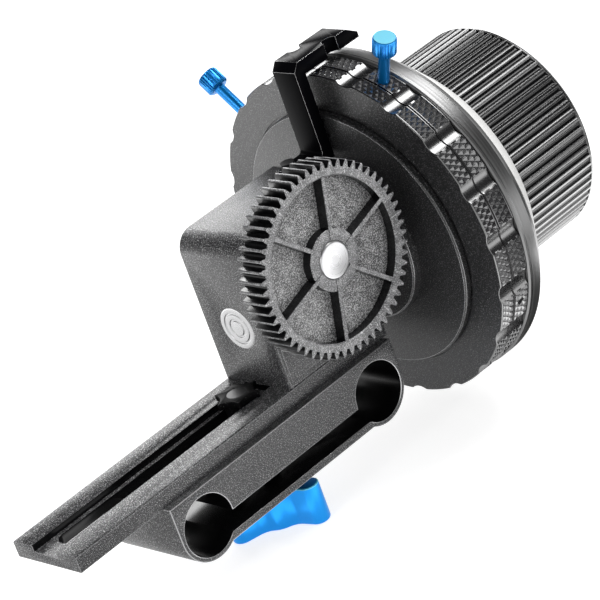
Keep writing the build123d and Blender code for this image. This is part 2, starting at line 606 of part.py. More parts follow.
def output_bearing(start):
    """Ball bearing of the output shaft."""
    bore_r = OUTPUT_JOURNAL_R + RUNNING_FIT
    return output_turned(*bearing_points(start, OUTPUT_BEARING_WIDTH, bore_r, OUTPUT_BEARING_R))


def index_arm():
    """Bent pointer: a foot on the housing, a leg behind the wheel and a plate over the rings."""
    foot_top = BOX_TOP_Z + ARM_FOOT_THICKNESS
    outline = make_face(Polyline(
        (ARM_FOOT_X, BOX_TOP_Z), (ARM_BACK_X, BOX_TOP_Z), (ARM_BACK_X, ARM_PLATE_Z), (ARM_TIP_X, ARM_PLATE_Z),
        (ARM_TIP_X, ARM_TOP_Z - ARM_BEVEL_DROP), (ARM_FLAT_END_X, ARM_TOP_Z),
        (ARM_FRONT_X + ARM_CORNER_LENGTH, ARM_TOP_Z), (ARM_FRONT_X, ARM_TOP_Z - ARM_CORNER_DROP),
        (ARM_FRONT_X, foot_top), (ARM_FOOT_X, foot_top), close=True,
    ))
    bend = outline.vertices().sort_by_distance((ARM_FRONT_X, foot_top, 0))[0]
    outline = fillet(bend, ARM_FOOT_FILLET_R)
    near_y, far_y = MID_Y - ARM_WIDTH / 2, MID_Y + ARM_WIDTH / 2
    arm = slab_y(outline, near_y, far_y)
    for x, y in ((THUMB_A_X, far_y), (THUMB_B_X, near_y)):
        arm -= bar_z(ARM_NOTCH_R, ARM_PLATE_Z, ARM_TOP_Z, x, y)
    return arm - arm_screw_shanks(SEAT_FIT)


def arm_screws():
    """Round-headed screws in the arm's foot."""
    head = Cylinder(ARM_SCREW_HEAD_R, ARM_SCREW_HEAD_HEIGHT, align=BASE)
    heads = [place * head for place in arm_screw_places()]
    return [top + shank for top, shank in zip(heads, arm_screw_shanks(0.0))]


# ---- hand wheel ----------------------------------------------------------------------------------
def cap_screw_places():
    """Screw on the hand axis through the knob's cap."""
    return [Pos(CAP_FACE_X - KNOB_CAP_DISH, MID_Y, HAND_Z) * Rot(0, 90, 0)]


def hand_clip_x():
    """Left end of the groove for the hand shaft's retaining ring."""
    return CAVITY_RIGHT_X - BODY_GAP - CLIP_WIDTH


def hand_shaft():
    """Shaft from the left bearing to the knob's cap."""
    shaft = bar_x(HAND_SHAFT_R, SHAFT_LEFT_X, CAP_BACK_X)
    clip_x = hand_clip_x()
    groove = bar_x(HAND_SHAFT_R, clip_x, clip_x + CLIP_WIDTH)
    shaft -= groove - bar_x(HAND_SHAFT_R - CLIP_DEPTH, clip_x, clip_x + CLIP_WIDTH)
    shaft -= countersunk(cap_screw_places(), **CAP_SCREW, fit=SEAT_FIT)
    return shaft


def screw_gear(phase, bore_r):
    """Left-handed screw gear along local Z, centred on the origin."""
    outline = gear_face(SCREW_GEAR_TEETH, TRANSVERSE_MODULE, TRANSVERSE_PRESSURE, SCREW_GEAR_ADDENDUM,
                        SCREW_GEAR_DEDENDUM, SCREW_GEAR_BACKLASH, phase + SCREW_GEAR_TWIST / 2)
    start = Pos(0, 0, -SCREW_GEAR_LENGTH / 2) * outline
    axis = Vector(0, 0, SCREW_GEAR_LENGTH)
    gear = Solid.extrude_linear_with_rotation(start.faces()[0], (0, 0, 0), axis, -SCREW_GEAR_TWIST)
    return Part(gear.wrapped) - Cylinder(bore_r, SCREW_GEAR_LENGTH)


def screw_gear_hand():
    """Screw gear on the hand shaft, with a tooth pointing straight up at mid length."""
    place = Plane(origin=(OUTPUT_X, MID_Y, HAND_Z), x_dir=(0, 0, 1), z_dir=(1, 0, 0))
    return place * screw_gear(0.0, HAND_SHAFT_R)


def screw_gear_output():
    """Screw gear on the output shaft, with a gap pointing straight down at mid length."""
    place = Plane(origin=(OUTPUT_X, MID_Y, OUTPUT_Z), x_dir=(0, 0, -1), z_dir=(0, 1, 0))
    return place * screw_gear(180 / SCREW_GEAR_TEETH, OUTPUT_JOURNAL_R)


def hub_grub_place():
    """Grub screw in the hub's collar."""
    return radial_place(HUB_X + HUB_COLLAR_LENGTH / 2 + HUB_GRUB_SHIFT, HUB_GRUB_ANGLE)


def wheel_screw_places():
    """Screws through the knob's web and the dial plate into the hub."""
    face_x = KNOB_X + KNOB_WEB
    return [radial_place(face_x, 90 + 360 * k / WHEEL_SCREW_COUNT) * Pos(0, 0, WHEEL_SCREW_CIRCLE_R)
            * Rot(0, 90, 0) for k in range(WHEEL_SCREW_COUNT)]


def wheel_hub():
    """Turned hub: a collar, a thin lip and the drum that the stop rings turn on."""
    hub = hand_turned(
        (HUB_X, HAND_SHAFT_R), (HUB_X, HUB_COLLAR_R - HUB_EDGE), (HUB_X + HUB_EDGE, HUB_COLLAR_R),
        (LIP_X, HUB_COLLAR_R), (LIP_X, HUB_LIP_R - HUB_EDGE), (LIP_X + HUB_EDGE, HUB_LIP_R),
        (DRUM_X, HUB_LIP_R), (DRUM_X, HUB_DRUM_R), (DIAL_X, HUB_DRUM_R), (DIAL_X, HAND_SHAFT_R),
    )
    hub -= hub_grub_place() * Cylinder(HUB_GRUB_R + SEAT_FIT, HUB_COLLAR_R, align=BASE)
    return hub - countersunk(wheel_screw_places(), **WHEEL_SCREW, fit=SEAT_FIT)


def hub_set_screw():
    """Grub screw that holds the hub on the shaft."""
    return hub_grub_place() * Pos(0, 0, HAND_SHAFT_R) * Cylinder(HUB_GRUB_R, HUB_GRUB_LENGTH, align=BASE)


def dial_plate():
    """Round plate with a bevelled rim in front of the stop rings."""
    plate = hand_turned(
        (DIAL_X, HAND_SHAFT_R), (DIAL_X, DIAL_R - RING_EDGE), (DIAL_X + RING_EDGE, DIAL_R),
        (DIAL_X + DIAL_RIM_WIDTH, DIAL_R), (KNOB_X, DIAL_FRONT_R), (KNOB_X, HAND_SHAFT_R),
    )
    return plate - countersunk(wheel_screw_places(), **WHEEL_SCREW, fit=SEAT_FIT)


def marking_disc():
    """Cone-shaped writing disc with an inner flange round the knob."""
    end_x = KNOB_X + MARKING_WIDTH
    bore_r = KNOB_R + MARKING_BORE_GAP
    wall = MARKING_WALL * sqrt(2)
    return hand_turned(
        (KNOB_X, DIAL_FRONT_R - wall), (KNOB_X, DIAL_FRONT_R), (end_x, MARKING_SMALL_R), (end_x, bore_r),
        (end_x - MARKING_WALL, bore_r), (end_x - MARKING_WALL, MARKING_SMALL_R + MARKING_WALL - wall),
    )


def hand_knob():
    """Fluted cup: a web against the dial plate and a chamfered end with a step for the cap."""
    cutter_circle = KNOB_R + KNOB_FLUTE_CUTTER_R - KNOB_FLUTE_DEPTH
    cutters = PolarLocations(cutter_circle, KNOB_FLUTES, start_angle=KNOB_FLUTE_PHASE)
    across = Plane(origin=(KNOB_X, MID_Y, HAND_Z), x_dir=(0, 1, 0), z_dir=(1, 0, 0))
    flute = extrude(Circle(KNOB_FLUTE_CUTTER_R), KNOB_LENGTH)
    knob = hand_turned(
        (KNOB_X, 0), (KNOB_X, KNOB_R), (KNOB_RIGHT_X - KNOB_END_CHAMFER, KNOB_R),
        (KNOB_RIGHT_X, KNOB_R - KNOB_END_CHAMFER), (KNOB_RIGHT_X, 0),
    )
    knob -= [across * place * flute for place in cutters]
    knob -= bar_x(HAND_SHAFT_R, KNOB_X, KNOB_X + KNOB_WEB)
    knob -= bar_x(KNOB_BORE_R, KNOB_X + KNOB_WEB, CAP_BACK_X)
    knob -= bar_x(KNOB_CAP_R + SEAT_FIT, CAP_BACK_X, KNOB_RIGHT_X)
    return knob - countersunk(wheel_screw_places(), **WHEEL_SCREW, fit=SEAT_FIT)


def knob_cap():
    """Round cap with a shallow dish, held by one screw in the shaft's end."""
    cap = bar_x(KNOB_CAP_R, CAP_BACK_X, CAP_FACE_X)
    dish_x = CAP_FACE_X - KNOB_CAP_DISH
    cap -= bar_x(KNOB_CAP_R - KNOB_CAP_RIM, dish_x, CAP_FACE_X)
    return cap - countersunk(cap_screw_places(), **CAP_SCREW, fit=SEAT_FIT)


# ---- output ----------------------------------------------------------------------------------------
def output_clip_y():
    """Front end of the groove for the output shaft's retaining ring."""
    return COVER_BACK_Y + BODY_GAP


def output_shaft():
    """Shaft with a thick nose for the drive gear and a thin journal through the gearbox."""
    journal_end = REAR_BEARING_Y + OUTPUT_BEARING_WIDTH - SHAFT_END_GAP
    groove_y, groove_r = output_clip_y(), OUTPUT_JOURNAL_R - CLIP_DEPTH
    return output_turned(
        (GEAR_FRONT_Y, 0), (GEAR_FRONT_Y, SHAFT_NOSE_R - NOSE_CHAMFER),
        (GEAR_FRONT_Y + NOSE_CHAMFER, SHAFT_NOSE_R), (SHOULDER_Y, SHAFT_NOSE_R),
        (SHOULDER_Y, OUTPUT_JOURNAL_R), (groove_y, OUTPUT_JOURNAL_R), (groove_y, groove_r),
        (groove_y + CLIP_WIDTH, groove_r), (groove_y + CLIP_WIDTH, OUTPUT_JOURNAL_R),
        (journal_end, OUTPUT_JOURNAL_R), (journal_end, 0),
    )


def gear_spacer():
    """Round spacer between the drive gear and the cover."""
    return output_turned((GEAR_BACK_Y, SHAFT_NOSE_R + SEAT_FIT), (GEAR_BACK_Y, SPACER_R),
                         (SHOULDER_Y, SPACER_R), (SHOULDER_Y, SHAFT_NOSE_R + SEAT_FIT))


def drive_gear():
    """Lens gear: a toothed rim, a sunk web and thin ribs from the hub."""
    face = gear_face(DRIVE_TEETH, DRIVE_MODULE, PRESSURE_ANGLE, DRIVE_MODULE, DRIVE_DEDENDUM,
                     DRIVE_BACKLASH)
    place = Pos(OUTPUT_X, OUTPUT_Z)
    gear = slab_y(place * face, GEAR_FRONT_Y, GEAR_BACK_Y)
    rim_r = DRIVE_TEETH * DRIVE_MODULE / 2 - DRIVE_DEDENDUM - DRIVE_RIM
    pocket = Circle(rim_r) - Circle(DRIVE_HUB_R)
    ribs = PolarLocations(0, DRIVE_RIBS, start_angle=DRIVE_FIRST_RIB)
    half = Pos(rim_r / 2, 0) * Rectangle(rim_r, DRIVE_RIB_WIDTH)
    pocket = place * (pocket - ribs * half)
    web_front_y = GEAR_FRONT_Y + DRIVE_FRONT_RECESS
    gear -= slab_y(pocket, GEAR_FRONT_Y, web_front_y)
    gear -= slab_y(pocket, web_front_y + DRIVE_WEB, GEAR_BACK_Y)
    return gear - bar_y(SHAFT_NOSE_R + SEAT_FIT, GEAR_FRONT_Y, GEAR_BACK_Y)


# ---- stop rings and thumb screws -----------------------------------------------------------------
def stop_ring(start, width, screw_x, screw_angle):
    """Ring with smooth grooves between its grip pads and a radial hole for a thumb screw."""
    end = start + width
    ring = hand_turned(
        (start, RING_BORE_R), (start, RING_R - RING_EDGE), (start + RING_EDGE, RING_R),
        (end - RING_EDGE, RING_R), (end, RING_R - RING_EDGE), (end, RING_BORE_R),
    )
    cutter_circle = RING_R + RING_GROOVE_CUTTER_R - RING_GROOVE_DEPTH
    cutter = Rot(0, 90, 0) * Cylinder(RING_GROOVE_CUTTER_R, width, align=BASE)
    pitch = 360 / RING_GROOVES
    ring -= [radial_place(start, RING_GROOVE_PHASE + pitch * k) * Pos(0, 0, cutter_circle) * cutter
             for k in range(RING_GROOVES)]
    screw_hole = Cylinder(THUMB_SHANK_R + RUNNING_FIT, RING_R, align=BASE)
    return ring - radial_place(screw_x, screw_angle) * screw_hole


def stop_ring_a():
    """Stop ring next to the gearbox, with a step round the hub's lip."""
    ring = stop_ring(RING_A_X, RING_A_WIDTH, THUMB_A_X, THUMB_A_ANGLE)
    step_end = RING_A_X + RING_STEP_DEPTH
    return ring - bar_x(RING_STEP_R, RING_A_X, step_end)


def ring_grub_place():
    """Radial hole of the grub screw in ring B."""
    return radial_place(THUMB_B_X, RING_GRUB_ANGLE)


def stop_ring_b():
    """Stop ring next to the dial plate, with a hole for a grub screw."""
    ring = stop_ring(RING_B_X, RING_B_WIDTH, THUMB_B_X, THUMB_B_ANGLE)
    return ring - ring_grub_place() * Cylinder(RING_GRUB_R + SEAT_FIT, RING_R, align=BASE)


def ring_set_screw():
    """Grub screw sunk in ring B."""
    start = RING_R - RING_GRUB_DEPTH - RING_GRUB_LENGTH
    return ring_grub_place() * Pos(0, 0, start) * Cylinder(RING_GRUB_R, RING_GRUB_LENGTH, align=BASE)


def thumb_screw(x, angle, tip_gap):
    """Round-headed thumb screw pointing at the hand axis."""
    tip = HUB_DRUM_R + tip_gap
    head_start = tip + THUMB_SHANK_LENGTH
    head_end = head_start + THUMB_HEAD_LENGTH
    face_r = THUMB_HEAD_R - THUMB_HEAD_EDGE
    profile = make_face(Polyline(
        (0, tip), (THUMB_SHANK_R, tip), (THUMB_SHANK_R, head_start), (face_r, head_start),
        (THUMB_HEAD_R, head_start + THUMB_HEAD_EDGE), (THUMB_HEAD_R, head_end - THUMB_HEAD_EDGE),
        (face_r, head_end), (0, head_end), close=True,
    ))
    return radial_place(x, angle) * revolve(Plane.XZ * profile, Axis.Z)


# ---- the nodes -------------------------------------------------------------------------------------
def along(direction, x, y, z):
    """Place whose local Z axis points along a direction."""
    return Plane(origin=(x, y, z), z_dir=direction)


NODES = {
    "rod_clamp": rod_clamp(),
    "clamp_stud": clamp_stud(),
    "clamp_washer": clamp_washer(),
    "slot_nut": slot_nut(),
    "clamp_lever": clamp_lever(),
    "slide_rail": slide_rail(),
    "rail_screws": countersunk(rail_screw_places(), **RAIL_SCREW),
    "gearbox_housing": gearbox_housing(),
    "gearbox_cover": gearbox_cover(),
    "cover_screws": countersunk(cover_screw_places(), **COVER_SCREW),
    "shaft_plug": shaft_plug(),
    "bearing_boss": bearing_boss(),
    "boss_screws": countersunk(boss_screw_places(), **BOSS_SCREW),
    "hand_bearing_left": hand_bearing(LEFT_BEARING_X),
    "hand_bearing_right": hand_bearing(RIGHT_BEARING_X),
    "output_bearing_front": output_bearing(FRONT_BEARING_Y),
    "output_bearing_rear": output_bearing(REAR_BEARING_Y),
    "index_arm": index_arm(),
    "arm_screws": arm_screws(),
    "hand_shaft": hand_shaft(),
    "screw_gear_hand": screw_gear_hand(),
    "hand_retaining_ring": along((1, 0, 0), hand_clip_x(), MID_Y, HAND_Z)
    * retaining_ring(HAND_SHAFT_R - CLIP_DEPTH),
    "wheel_hub": wheel_hub(),
    "hub_set_screw": hub_set_screw(),
    "dial_plate": dial_plate(),
    "marking_disc": marking_disc(),
    "hand_knob": hand_knob(),
    "wheel_screws": countersunk(wheel_screw_places(), **WHEEL_SCREW),
    "knob_cap": knob_cap(),
    "cap_screw": countersunk(cap_screw_places(), **CAP_SCREW),
    "output_shaft": output_shaft(),
    "screw_gear_output": screw_gear_output(),
    "output_retaining_ring": along((0, 1, 0), OUTPUT_X, output_clip_y(), OUTPUT_Z)
    * retaining_ring(OUTPUT_JOURNAL_R - CLIP_DEPTH),
    "gear_spacer": gear_spacer(),
    "drive_gear": drive_gear(),
    "stop_ring_a": stop_ring_a(),
    "stop_ring_b": stop_ring_b(),
    "ring_set_screw": ring_set_screw(),
    "thumb_screw_a": thumb_screw(THUMB_A_X, THUMB_A_ANGLE, THUMB_A_TIP_GAP),
    "thumb_screw_b": thumb_screw(THUMB_B_X, THUMB_B_ANGLE, THUMB_B_TIP_GAP),
}

os.makedirs("parts", exist_ok=True)
for name, shape in NODES.items():
    solids = Compound(children=shape) if isinstance(shape, list) else shape
    export_step(solids, f"parts/{name}.step")
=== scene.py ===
"""Follow focus unit on a rod clamp: the looks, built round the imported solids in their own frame.

Sizes are millimetres and angles degrees. Meshes are written in metres, with their place in the mesh.
"""

import logging
import math
from dataclasses import dataclass
from enum import Enum
from functools import cache
from typing import Callable, Iterable, Sequence

import bmesh
import bpy
from mathutils import Matrix, Vector


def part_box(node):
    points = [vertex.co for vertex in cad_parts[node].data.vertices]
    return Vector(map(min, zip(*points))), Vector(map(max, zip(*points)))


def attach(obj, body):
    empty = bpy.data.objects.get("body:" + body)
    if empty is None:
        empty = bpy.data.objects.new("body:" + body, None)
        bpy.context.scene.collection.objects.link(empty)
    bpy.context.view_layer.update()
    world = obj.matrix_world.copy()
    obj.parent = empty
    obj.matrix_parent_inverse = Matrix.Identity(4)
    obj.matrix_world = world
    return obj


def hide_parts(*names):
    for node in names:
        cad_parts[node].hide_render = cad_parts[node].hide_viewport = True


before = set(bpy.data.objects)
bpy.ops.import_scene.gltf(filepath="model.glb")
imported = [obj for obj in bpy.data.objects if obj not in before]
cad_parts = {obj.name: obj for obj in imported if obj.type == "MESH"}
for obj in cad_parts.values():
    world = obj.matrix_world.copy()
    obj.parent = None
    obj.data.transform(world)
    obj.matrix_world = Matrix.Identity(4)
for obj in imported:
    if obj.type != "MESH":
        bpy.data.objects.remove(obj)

MM = 0.001
ON_AXIS = 1e-6                                         # a smaller radius is a point of the axis
THUMB_A, THUMB_B, SET_SCREW = 45.26, 114.7, 204.4      # places round the hand axis
TIP_A, TIP_B = 35.4, 35.0                              # radii at which the thumb screws end
THUMB_HOLE, SET_HOLE = 1.6, 1.0                        # radii of the holes in the rings
WALL_SHARE = 0.5                                       # a wall's normal has less than this along an axis
SMOOTH, SMOOTH_RING, SMOOTH_KNOB, SMOOTH_GEAR = 30.0, 25.0, 28.0, 35.0         # sharper edges stay sharp
SQUARE = ((-1, -1), (1, -1), (1, 1), (-1, 1))          # corners about the middle

log = logging.getLogger("follow_focus")

Object, Tree, Node, Socket = bpy.types.Object, bpy.types.NodeTree, bpy.types.Node, bpy.types.NodeSocket
Point2 = tuple[float, float]
Triple = tuple[float, float, float]
Chooser = Callable[[Vector, Vector], bool]
RingPoint = tuple[float, float, float, float | None]
HeadRow = tuple[float, float, bool]


# ---- places and boxes ----
class Lie(Enum):
    """Directions of a piece's own X and Y axes, for each way that its own Z axis lies."""

    ALONG_X = ((0, 1, 0), (0, 0, 1))
    ALONG_Y = ((0, 0, 1), (1, 0, 0))
    TO_FRONT = ((1, 0, 0), (0, 0, 1))


def place(lie: Lie, origin: Sequence[float]) -> Matrix:
    """Frame of a piece, from its own millimetres to the shared frame's.

    Args:
        lie: The way that its own axes point.
        origin: Its origin in the shared frame.

    Returns:
        The matrix.
    """
    x_dir, y_dir = Vector(lie.value[0]), Vector(lie.value[1])
    turn = Matrix((x_dir, y_dir, x_dir.cross(y_dir))).transposed()
    return Matrix.Translation(Vector(origin)) @ turn.to_4x4()


def polar(frame_of: Matrix, radius: float, angle: float, height: float) -> Vector:
    """Point at a radius, an angle in radians and a height about a frame's own Z axis."""
    return frame_of @ Vector((radius * math.cos(angle), radius * math.sin(angle), height))


@dataclass(frozen=True)
class Box:
    """Lowest and highest corner of a CAD node at rest."""

    low: Vector
    high: Vector

    @classmethod
    def of(cls, node: str) -> "Box":
        """Box of one CAD node."""
        low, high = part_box(node)
        return cls(low / MM, high / MM)

    @property
    def middle(self) -> Vector:
        """Centre of the box."""
        return (self.low + self.high) / 2

    @property
    def size(self) -> Vector:
        """Edge lengths of the box."""
        return self.high - self.low

    @property
    def radius(self) -> float:
        """Radius of the node, where it is round about X or Y."""
        return self.size.z / 2

    def holds(self, point: Vector, axes: str, margin: float) -> bool:
        """Whether a point is in the box by more than a margin, along the axes named."""
        return all(getattr(self.low, a) + margin < getattr(point, a) < getattr(self.high, a) - margin for a in axes)


HUB_MIDDLE = Box.of("wheel_hub").middle
HAND_AXIS = Vector((0, HUB_MIDDLE.y, HUB_MIDDLE.z))


# ---- meshes ----
def linked(name: str, data: bpy.types.ID) -> Object:
    """Make an object and link it to the scene.

    Args:
        name: Name of the object.
        data: Its mesh, lamp or camera.

    Returns:
        The object.
    """
    obj = bpy.data.objects.new(name, data)
    bpy.context.scene.collection.objects.link(obj)
    return obj


def mesh_object(name: str, points: Iterable[Vector], faces: Iterable[Sequence[int]]) -> Object:
    """Make an object with its normals pointing out.

    Args:
        name: Name of the object.
        points: Corners in the shared frame, in millimetres.
        faces: Corner numbers of each face.

    Returns:
        The object.
    """
    mesh = bpy.data.meshes.new(name)
    mesh.from_pydata([Vector(p) * MM for p in points], [], [list(f) for f in faces])
    made = bmesh.new()
    made.from_mesh(mesh)
    bmesh.ops.recalc_face_normals(made, faces=made.faces)
    made.to_mesh(mesh)
    made.free()
    return linked(name, mesh)


def rounded(profile: Sequence[Point2], radius: float, steps: int = 3, closed: bool = False) -> list[Point2]:
    """Round the corners of a profile.

    Args:
        profile: Points of the profile.
        radius: Radius of each corner, made smaller where a side is short.
        steps: Number of spans in each corner.
        closed: Whether the last point joins the first.

    Returns:
        The points of the rounded profile.
    """
    most_of_side, nearly_straight = 0.45, 0.02
    count = len(profile)
    result: list[Point2] = []
    for index, point in enumerate(profile):
        here = Vector(point)
        before, after = Vector(profile[index - 1]) - here, Vector(profile[(index + 1) % count]) - here
        half = before.angle(after) / 2 if closed or index not in (0, count - 1) else math.pi / 2
        if abs(half - math.pi / 2) < nearly_straight:
            result.append(point)
            continue
        reach = min(radius / math.tan(half), before.length * most_of_side, after.length * most_of_side)
        arc_r = reach * math.tan(half)
        middle = here + (before.normalized() + after.normalized()).normalized() * (arc_r / math.sin(half))
        first, last = here + before.normalized() * reach - middle, here + after.normalized() * reach - middle
        sweep = first.angle_signed(last)
        for step in range(steps + 1):
            spot = middle + Matrix.Rotation(-sweep * step / steps, 2) @ first
            result.append((spot.x, spot.y))
    return result


def turned(name: str, profile: Sequence[Point2], frame_of: Matrix, segments: int, edge: float = 0.0) -> Object:
    """Turn a profile about a piece's own Z axis.

    Args:
        name: Name of the object.
        profile: (height, radius) points. Where none is on the axis, the profile closes on itself.
        frame_of: Frame of the piece.
        segments: Number of spans round the axis.
        edge: Radius of the profile's rounded corners.

    Returns:
        The object.
    """
    closed = all(radius > ON_AXIS for _, radius in profile)
    points: list[Vector] = []
    rings: list[list[int]] = []
    for height, radius in rounded(profile, edge, closed=closed) if edge else profile:
        first, count = len(points), segments if radius > ON_AXIS else 1
        rings.append([first + k % count for k in range(segments)])
        points += [polar(frame_of, radius, 2 * math.pi * k / segments, height) for k in range(count)]
    faces = []
    for lower, upper in [*zip(rings, rings[1:]), *([(rings[-1], rings[0])] if closed else [])]:
        for k in range(segments):
            after = (k + 1) % segments
            face = list(dict.fromkeys((lower[k], lower[after], upper[after], upper[k])))
            if len(face) > 2:
                faces.append(face)
    return mesh_object(name, points, faces)


def sheet_of_rows(rows: Sequence[Sequence[Vector]], valley: Callable[[int, int], bool] | None = None
                  ) -> tuple[list[Vector], list[list[int]]]:
    """Join rows of points into a band of faces that closes on its first row.

    Args:
        rows: Rows with the same number of points.
        valley: Tells whether the point of a row and column is a valley, along which faces are split.

    Returns:
        The points and the faces.
    """
    width = len(rows[0])
    faces: list[list[int]] = []
    for r in range(len(rows)):
        below = (r + 1) % len(rows)
        for c in range(width - 1):
            a, b, d, e = r * width + c, r * width + c + 1, below * width + c + 1, below * width + c
            if valley and valley(r, c) and valley(below, c + 1):
                faces += [[a, b, d], [a, d, e]]
            elif valley and valley(r, c + 1) and valley(below, c):
                faces += [[a, b, e], [b, d, e]]
            else:
                faces.append([a, b, d, e])
    return [p for row in rows for p in row], faces


def settle(obj: Object, smooth: float = SMOOTH) -> None:
    """Apply an object's modifiers and shade it smooth up to an angle.

    Args:
        obj: The object.
        smooth: Edges sharper than this angle stay sharp.
    """
    view = bpy.context.evaluated_depsgraph_get()
    view.update()
    fresh = bpy.data.meshes.new_from_object(obj.evaluated_get(view), preserve_all_data_layers=True, depsgraph=view)
    obj.modifiers.clear()
    old, obj.data = obj.data, fresh
    fresh.name = obj.name
    bpy.data.meshes.remove(old)
    fresh.shade_smooth()
    fresh.set_sharp_from_angle(angle=math.radians(smooth))


def joined(name: str, parts: Sequence[Object]) -> Object:
    """Join plain meshes, materials kept, into one.

    Args:
        name: Name of the whole.
        parts: The parts, of which the first becomes the whole.

    Returns:
        The whole.
    """
    with bpy.context.temp_override(active_object=parts[0], selected_editable_objects=list(parts)):
        bpy.ops.object.join()
    parts[0].name = name
    return parts[0]


def drilled(obj: Object, centre: Vector, axis: Vector, radius: float, reach: Point2, wall: int, sides: int = 48
            ) -> None:
    """Drill a hole into a plain mesh.

    Args:
        obj: The mesh object.
        centre: A point on the hole's axis.
        axis: Direction of the hole.
        radius: Radius of the hole.
        reach: Where the hole starts and ends along its axis.
        wall: Number of the material slot that its wall takes.
        sides: Number of the hole's sides.
    """
    frame_of = Matrix.Translation(centre) @ axis.to_track_quat("Z", "Y").to_matrix().to_4x4()
    start, end = reach
    drill = turned("drill", [(start, 0), (start, radius), (end, radius), (end, 0)], frame_of, sides)
    for slot in obj.data.materials:
        drill.data.materials.append(slot)
    for face in drill.data.polygons:
        face.material_index = wall
    knife = obj.modifiers.new("Hole", "BOOLEAN")
    knife.operation, knife.solver, knife.material_mode, knife.object = "DIFFERENCE", "EXACT", "INDEX", drill
    settle(obj, SMOOTH_RING)
    bpy.data.objects.remove(drill)


# ---- node trees ----
class Wires:
    """Short way to add, fill and link the nodes of one tree."""

    def __init__(self, tree: Tree) -> None:
        """Keep the tree."""
        self.tree = tree

    def feed(self, value: object, socket: Socket) -> None:
        """Give an input a value, or a link where the value is an output.

        Args:
            value: The value or the output.
            socket: The input.
        """
        if isinstance(value, Socket):
            self.tree.links.new(value, socket)
        else:
            socket.default_value = value

    def fill(self, node: Node, *values: object, **settings: object) -> Node:
        """Set attributes and inputs of a node.

        Args:
            node: The node.
            *values: Values of its first inputs.
            **settings: Attributes, or inputs by their names, with _ for a space.

        Returns:
            The node.
        """
        for key, value in settings.items():
            if hasattr(node, key):
                setattr(node, key, value)
            else:
                self.feed(value, node.inputs[key.replace("_", " ")])
        for socket, value in zip(node.inputs, values):
            self.feed(value, socket)
        return node

    def add(self, kind: str, *values: object, **settings: object) -> Node:
        """Add a node and fill it."""
        return self.fill(self.tree.nodes.new(kind), *values, **settings)

    def sum(self, operation: str, *values: object, clamp: bool = False) -> Socket:
        """Output of a Math node with this operation, kept from 0 to 1 where clamp is true."""
        return self.add("ShaderNodeMath", *values, operation=operation, use_clamp=clamp).outputs[0]


def node_group(name: str, kind: str, inputs: dict[str, str], outputs: dict[str, str]) -> tuple[Wires, Node, Node]:
    """Start a node group.

    Args:
        name: Name of the group.
        kind: Type of its tree.
        inputs: Type of each input.
        outputs: Type of each output.

    Returns:
        The wires of its tree, and its input and output nodes.
    """
    tree = bpy.data.node_groups.new(name, kind)
    for side, sockets in (("INPUT", inputs), ("OUTPUT", outputs)):
        for key, value_type in sockets.items():
            tree.interface.new_socket(key, in_out=side, socket_type=f"NodeSocket{value_type}")
    return Wires(tree), tree.nodes.new("NodeGroupInput"), tree.nodes.new("NodeGroupOutput")


def new_material(name: str, **inputs: object) -> tuple[bpy.types.Material, Wires, Node]:
    """Start a material.

    Args:
        name: Name of the material.
        **inputs: Values of its shader's inputs, with _ for a space.

    Returns:
        The material, its wires and its shader.
    """
    made = bpy.data.materials.new(name)
    made.use_nodes = True
    wires = Wires(made.node_tree)
    return made, wires, wires.fill(made.node_tree.nodes["Principled BSDF"], **inputs)


@cache
def speckle_group() -> Tree:
    """Build the blasted surface: a field of fine pits whose crests are lighter, partly the grain's own tone and
    partly painted glints.

    Returns:
        A group with the inputs Grain (mm) and Cover, and the outputs Crests, Height and Cloud.
    """
    patch, bare_level, cover_drop, crest_span = 9.0, 0.72, 0.3, 0.12
    wires, given, result = node_group("Blasted grain", "ShaderNodeTree", {"Grain": "Float", "Cover": "Float"},
                                      {"Crests": "Float", "Height": "Float", "Cloud": "Float"})
    where = wires.add("ShaderNodeTexCoord").outputs["Object"]
    scale = wires.sum("DIVIDE", 1 / MM, given.outputs["Grain"])
    fine = wires.add("ShaderNodeTexNoise", Vector=where, Scale=scale, Detail=2.0, Roughness=0.6).outputs[0]
    broad = wires.add("ShaderNodeTexNoise", Vector=where, Scale=wires.sum("DIVIDE", scale, patch), Detail=2.0)
    low = wires.sum("SUBTRACT", bare_level, wires.sum("MULTIPLY", given.outputs["Cover"], cover_drop))
    crests = wires.add("ShaderNodeMapRange", Value=fine, From_Min=low, From_Max=wires.sum("ADD", low, crest_span))
    wires.fill(result, Crests=crests.outputs[0], Height=fine, Cloud=broad.outputs[0])
    return wires.tree


@cache
def turning_group() -> Tree:
    """Build the lathe's fine rings about an axis.

    Returns:
        A group with the inputs Centre, Axis and Pitch (mm), and the outputs Rings and Sheen.
    """
    cone_share, sheen_pitch = 0.83, 0.37
    wires, given, result = node_group(
        "Lathe rings", "ShaderNodeTree", {"Centre": "Vector", "Axis": "Vector", "Pitch": "Float"},
        {"Rings": "Float", "Sheen": "Float"})
    axis = given.outputs["Axis"]

    def vector(operation: str, *values: object) -> Node:
        """Vector Math node with this operation."""
        return wires.add("ShaderNodeVectorMath", *values, operation=operation)

    arm = vector("SUBTRACT", wires.add("ShaderNodeTexCoord").outputs["Object"], given.outputs["Centre"]).outputs[0]
    radius = vector("LENGTH", vector("CROSS_PRODUCT", arm, axis).outputs[0]).outputs["Value"]
    along = vector("DOT_PRODUCT", arm, axis).outputs["Value"]
    travel = wires.sum("ADD", radius, wires.sum("MULTIPLY", along, cone_share))
    turns = wires.sum("DIVIDE", travel, wires.sum("MULTIPLY", given.outputs["Pitch"], MM))
    wobble = wires.add("ShaderNodeTexNoise", noise_dimensions="1D", W=turns, Scale=sheen_pitch, Detail=2.0)
    wires.fill(result, Rings=wires.sum("SINE", wires.sum("MULTIPLY", turns, 2 * math.pi)), Sheen=wobble.outputs[0])
    return wires.tree


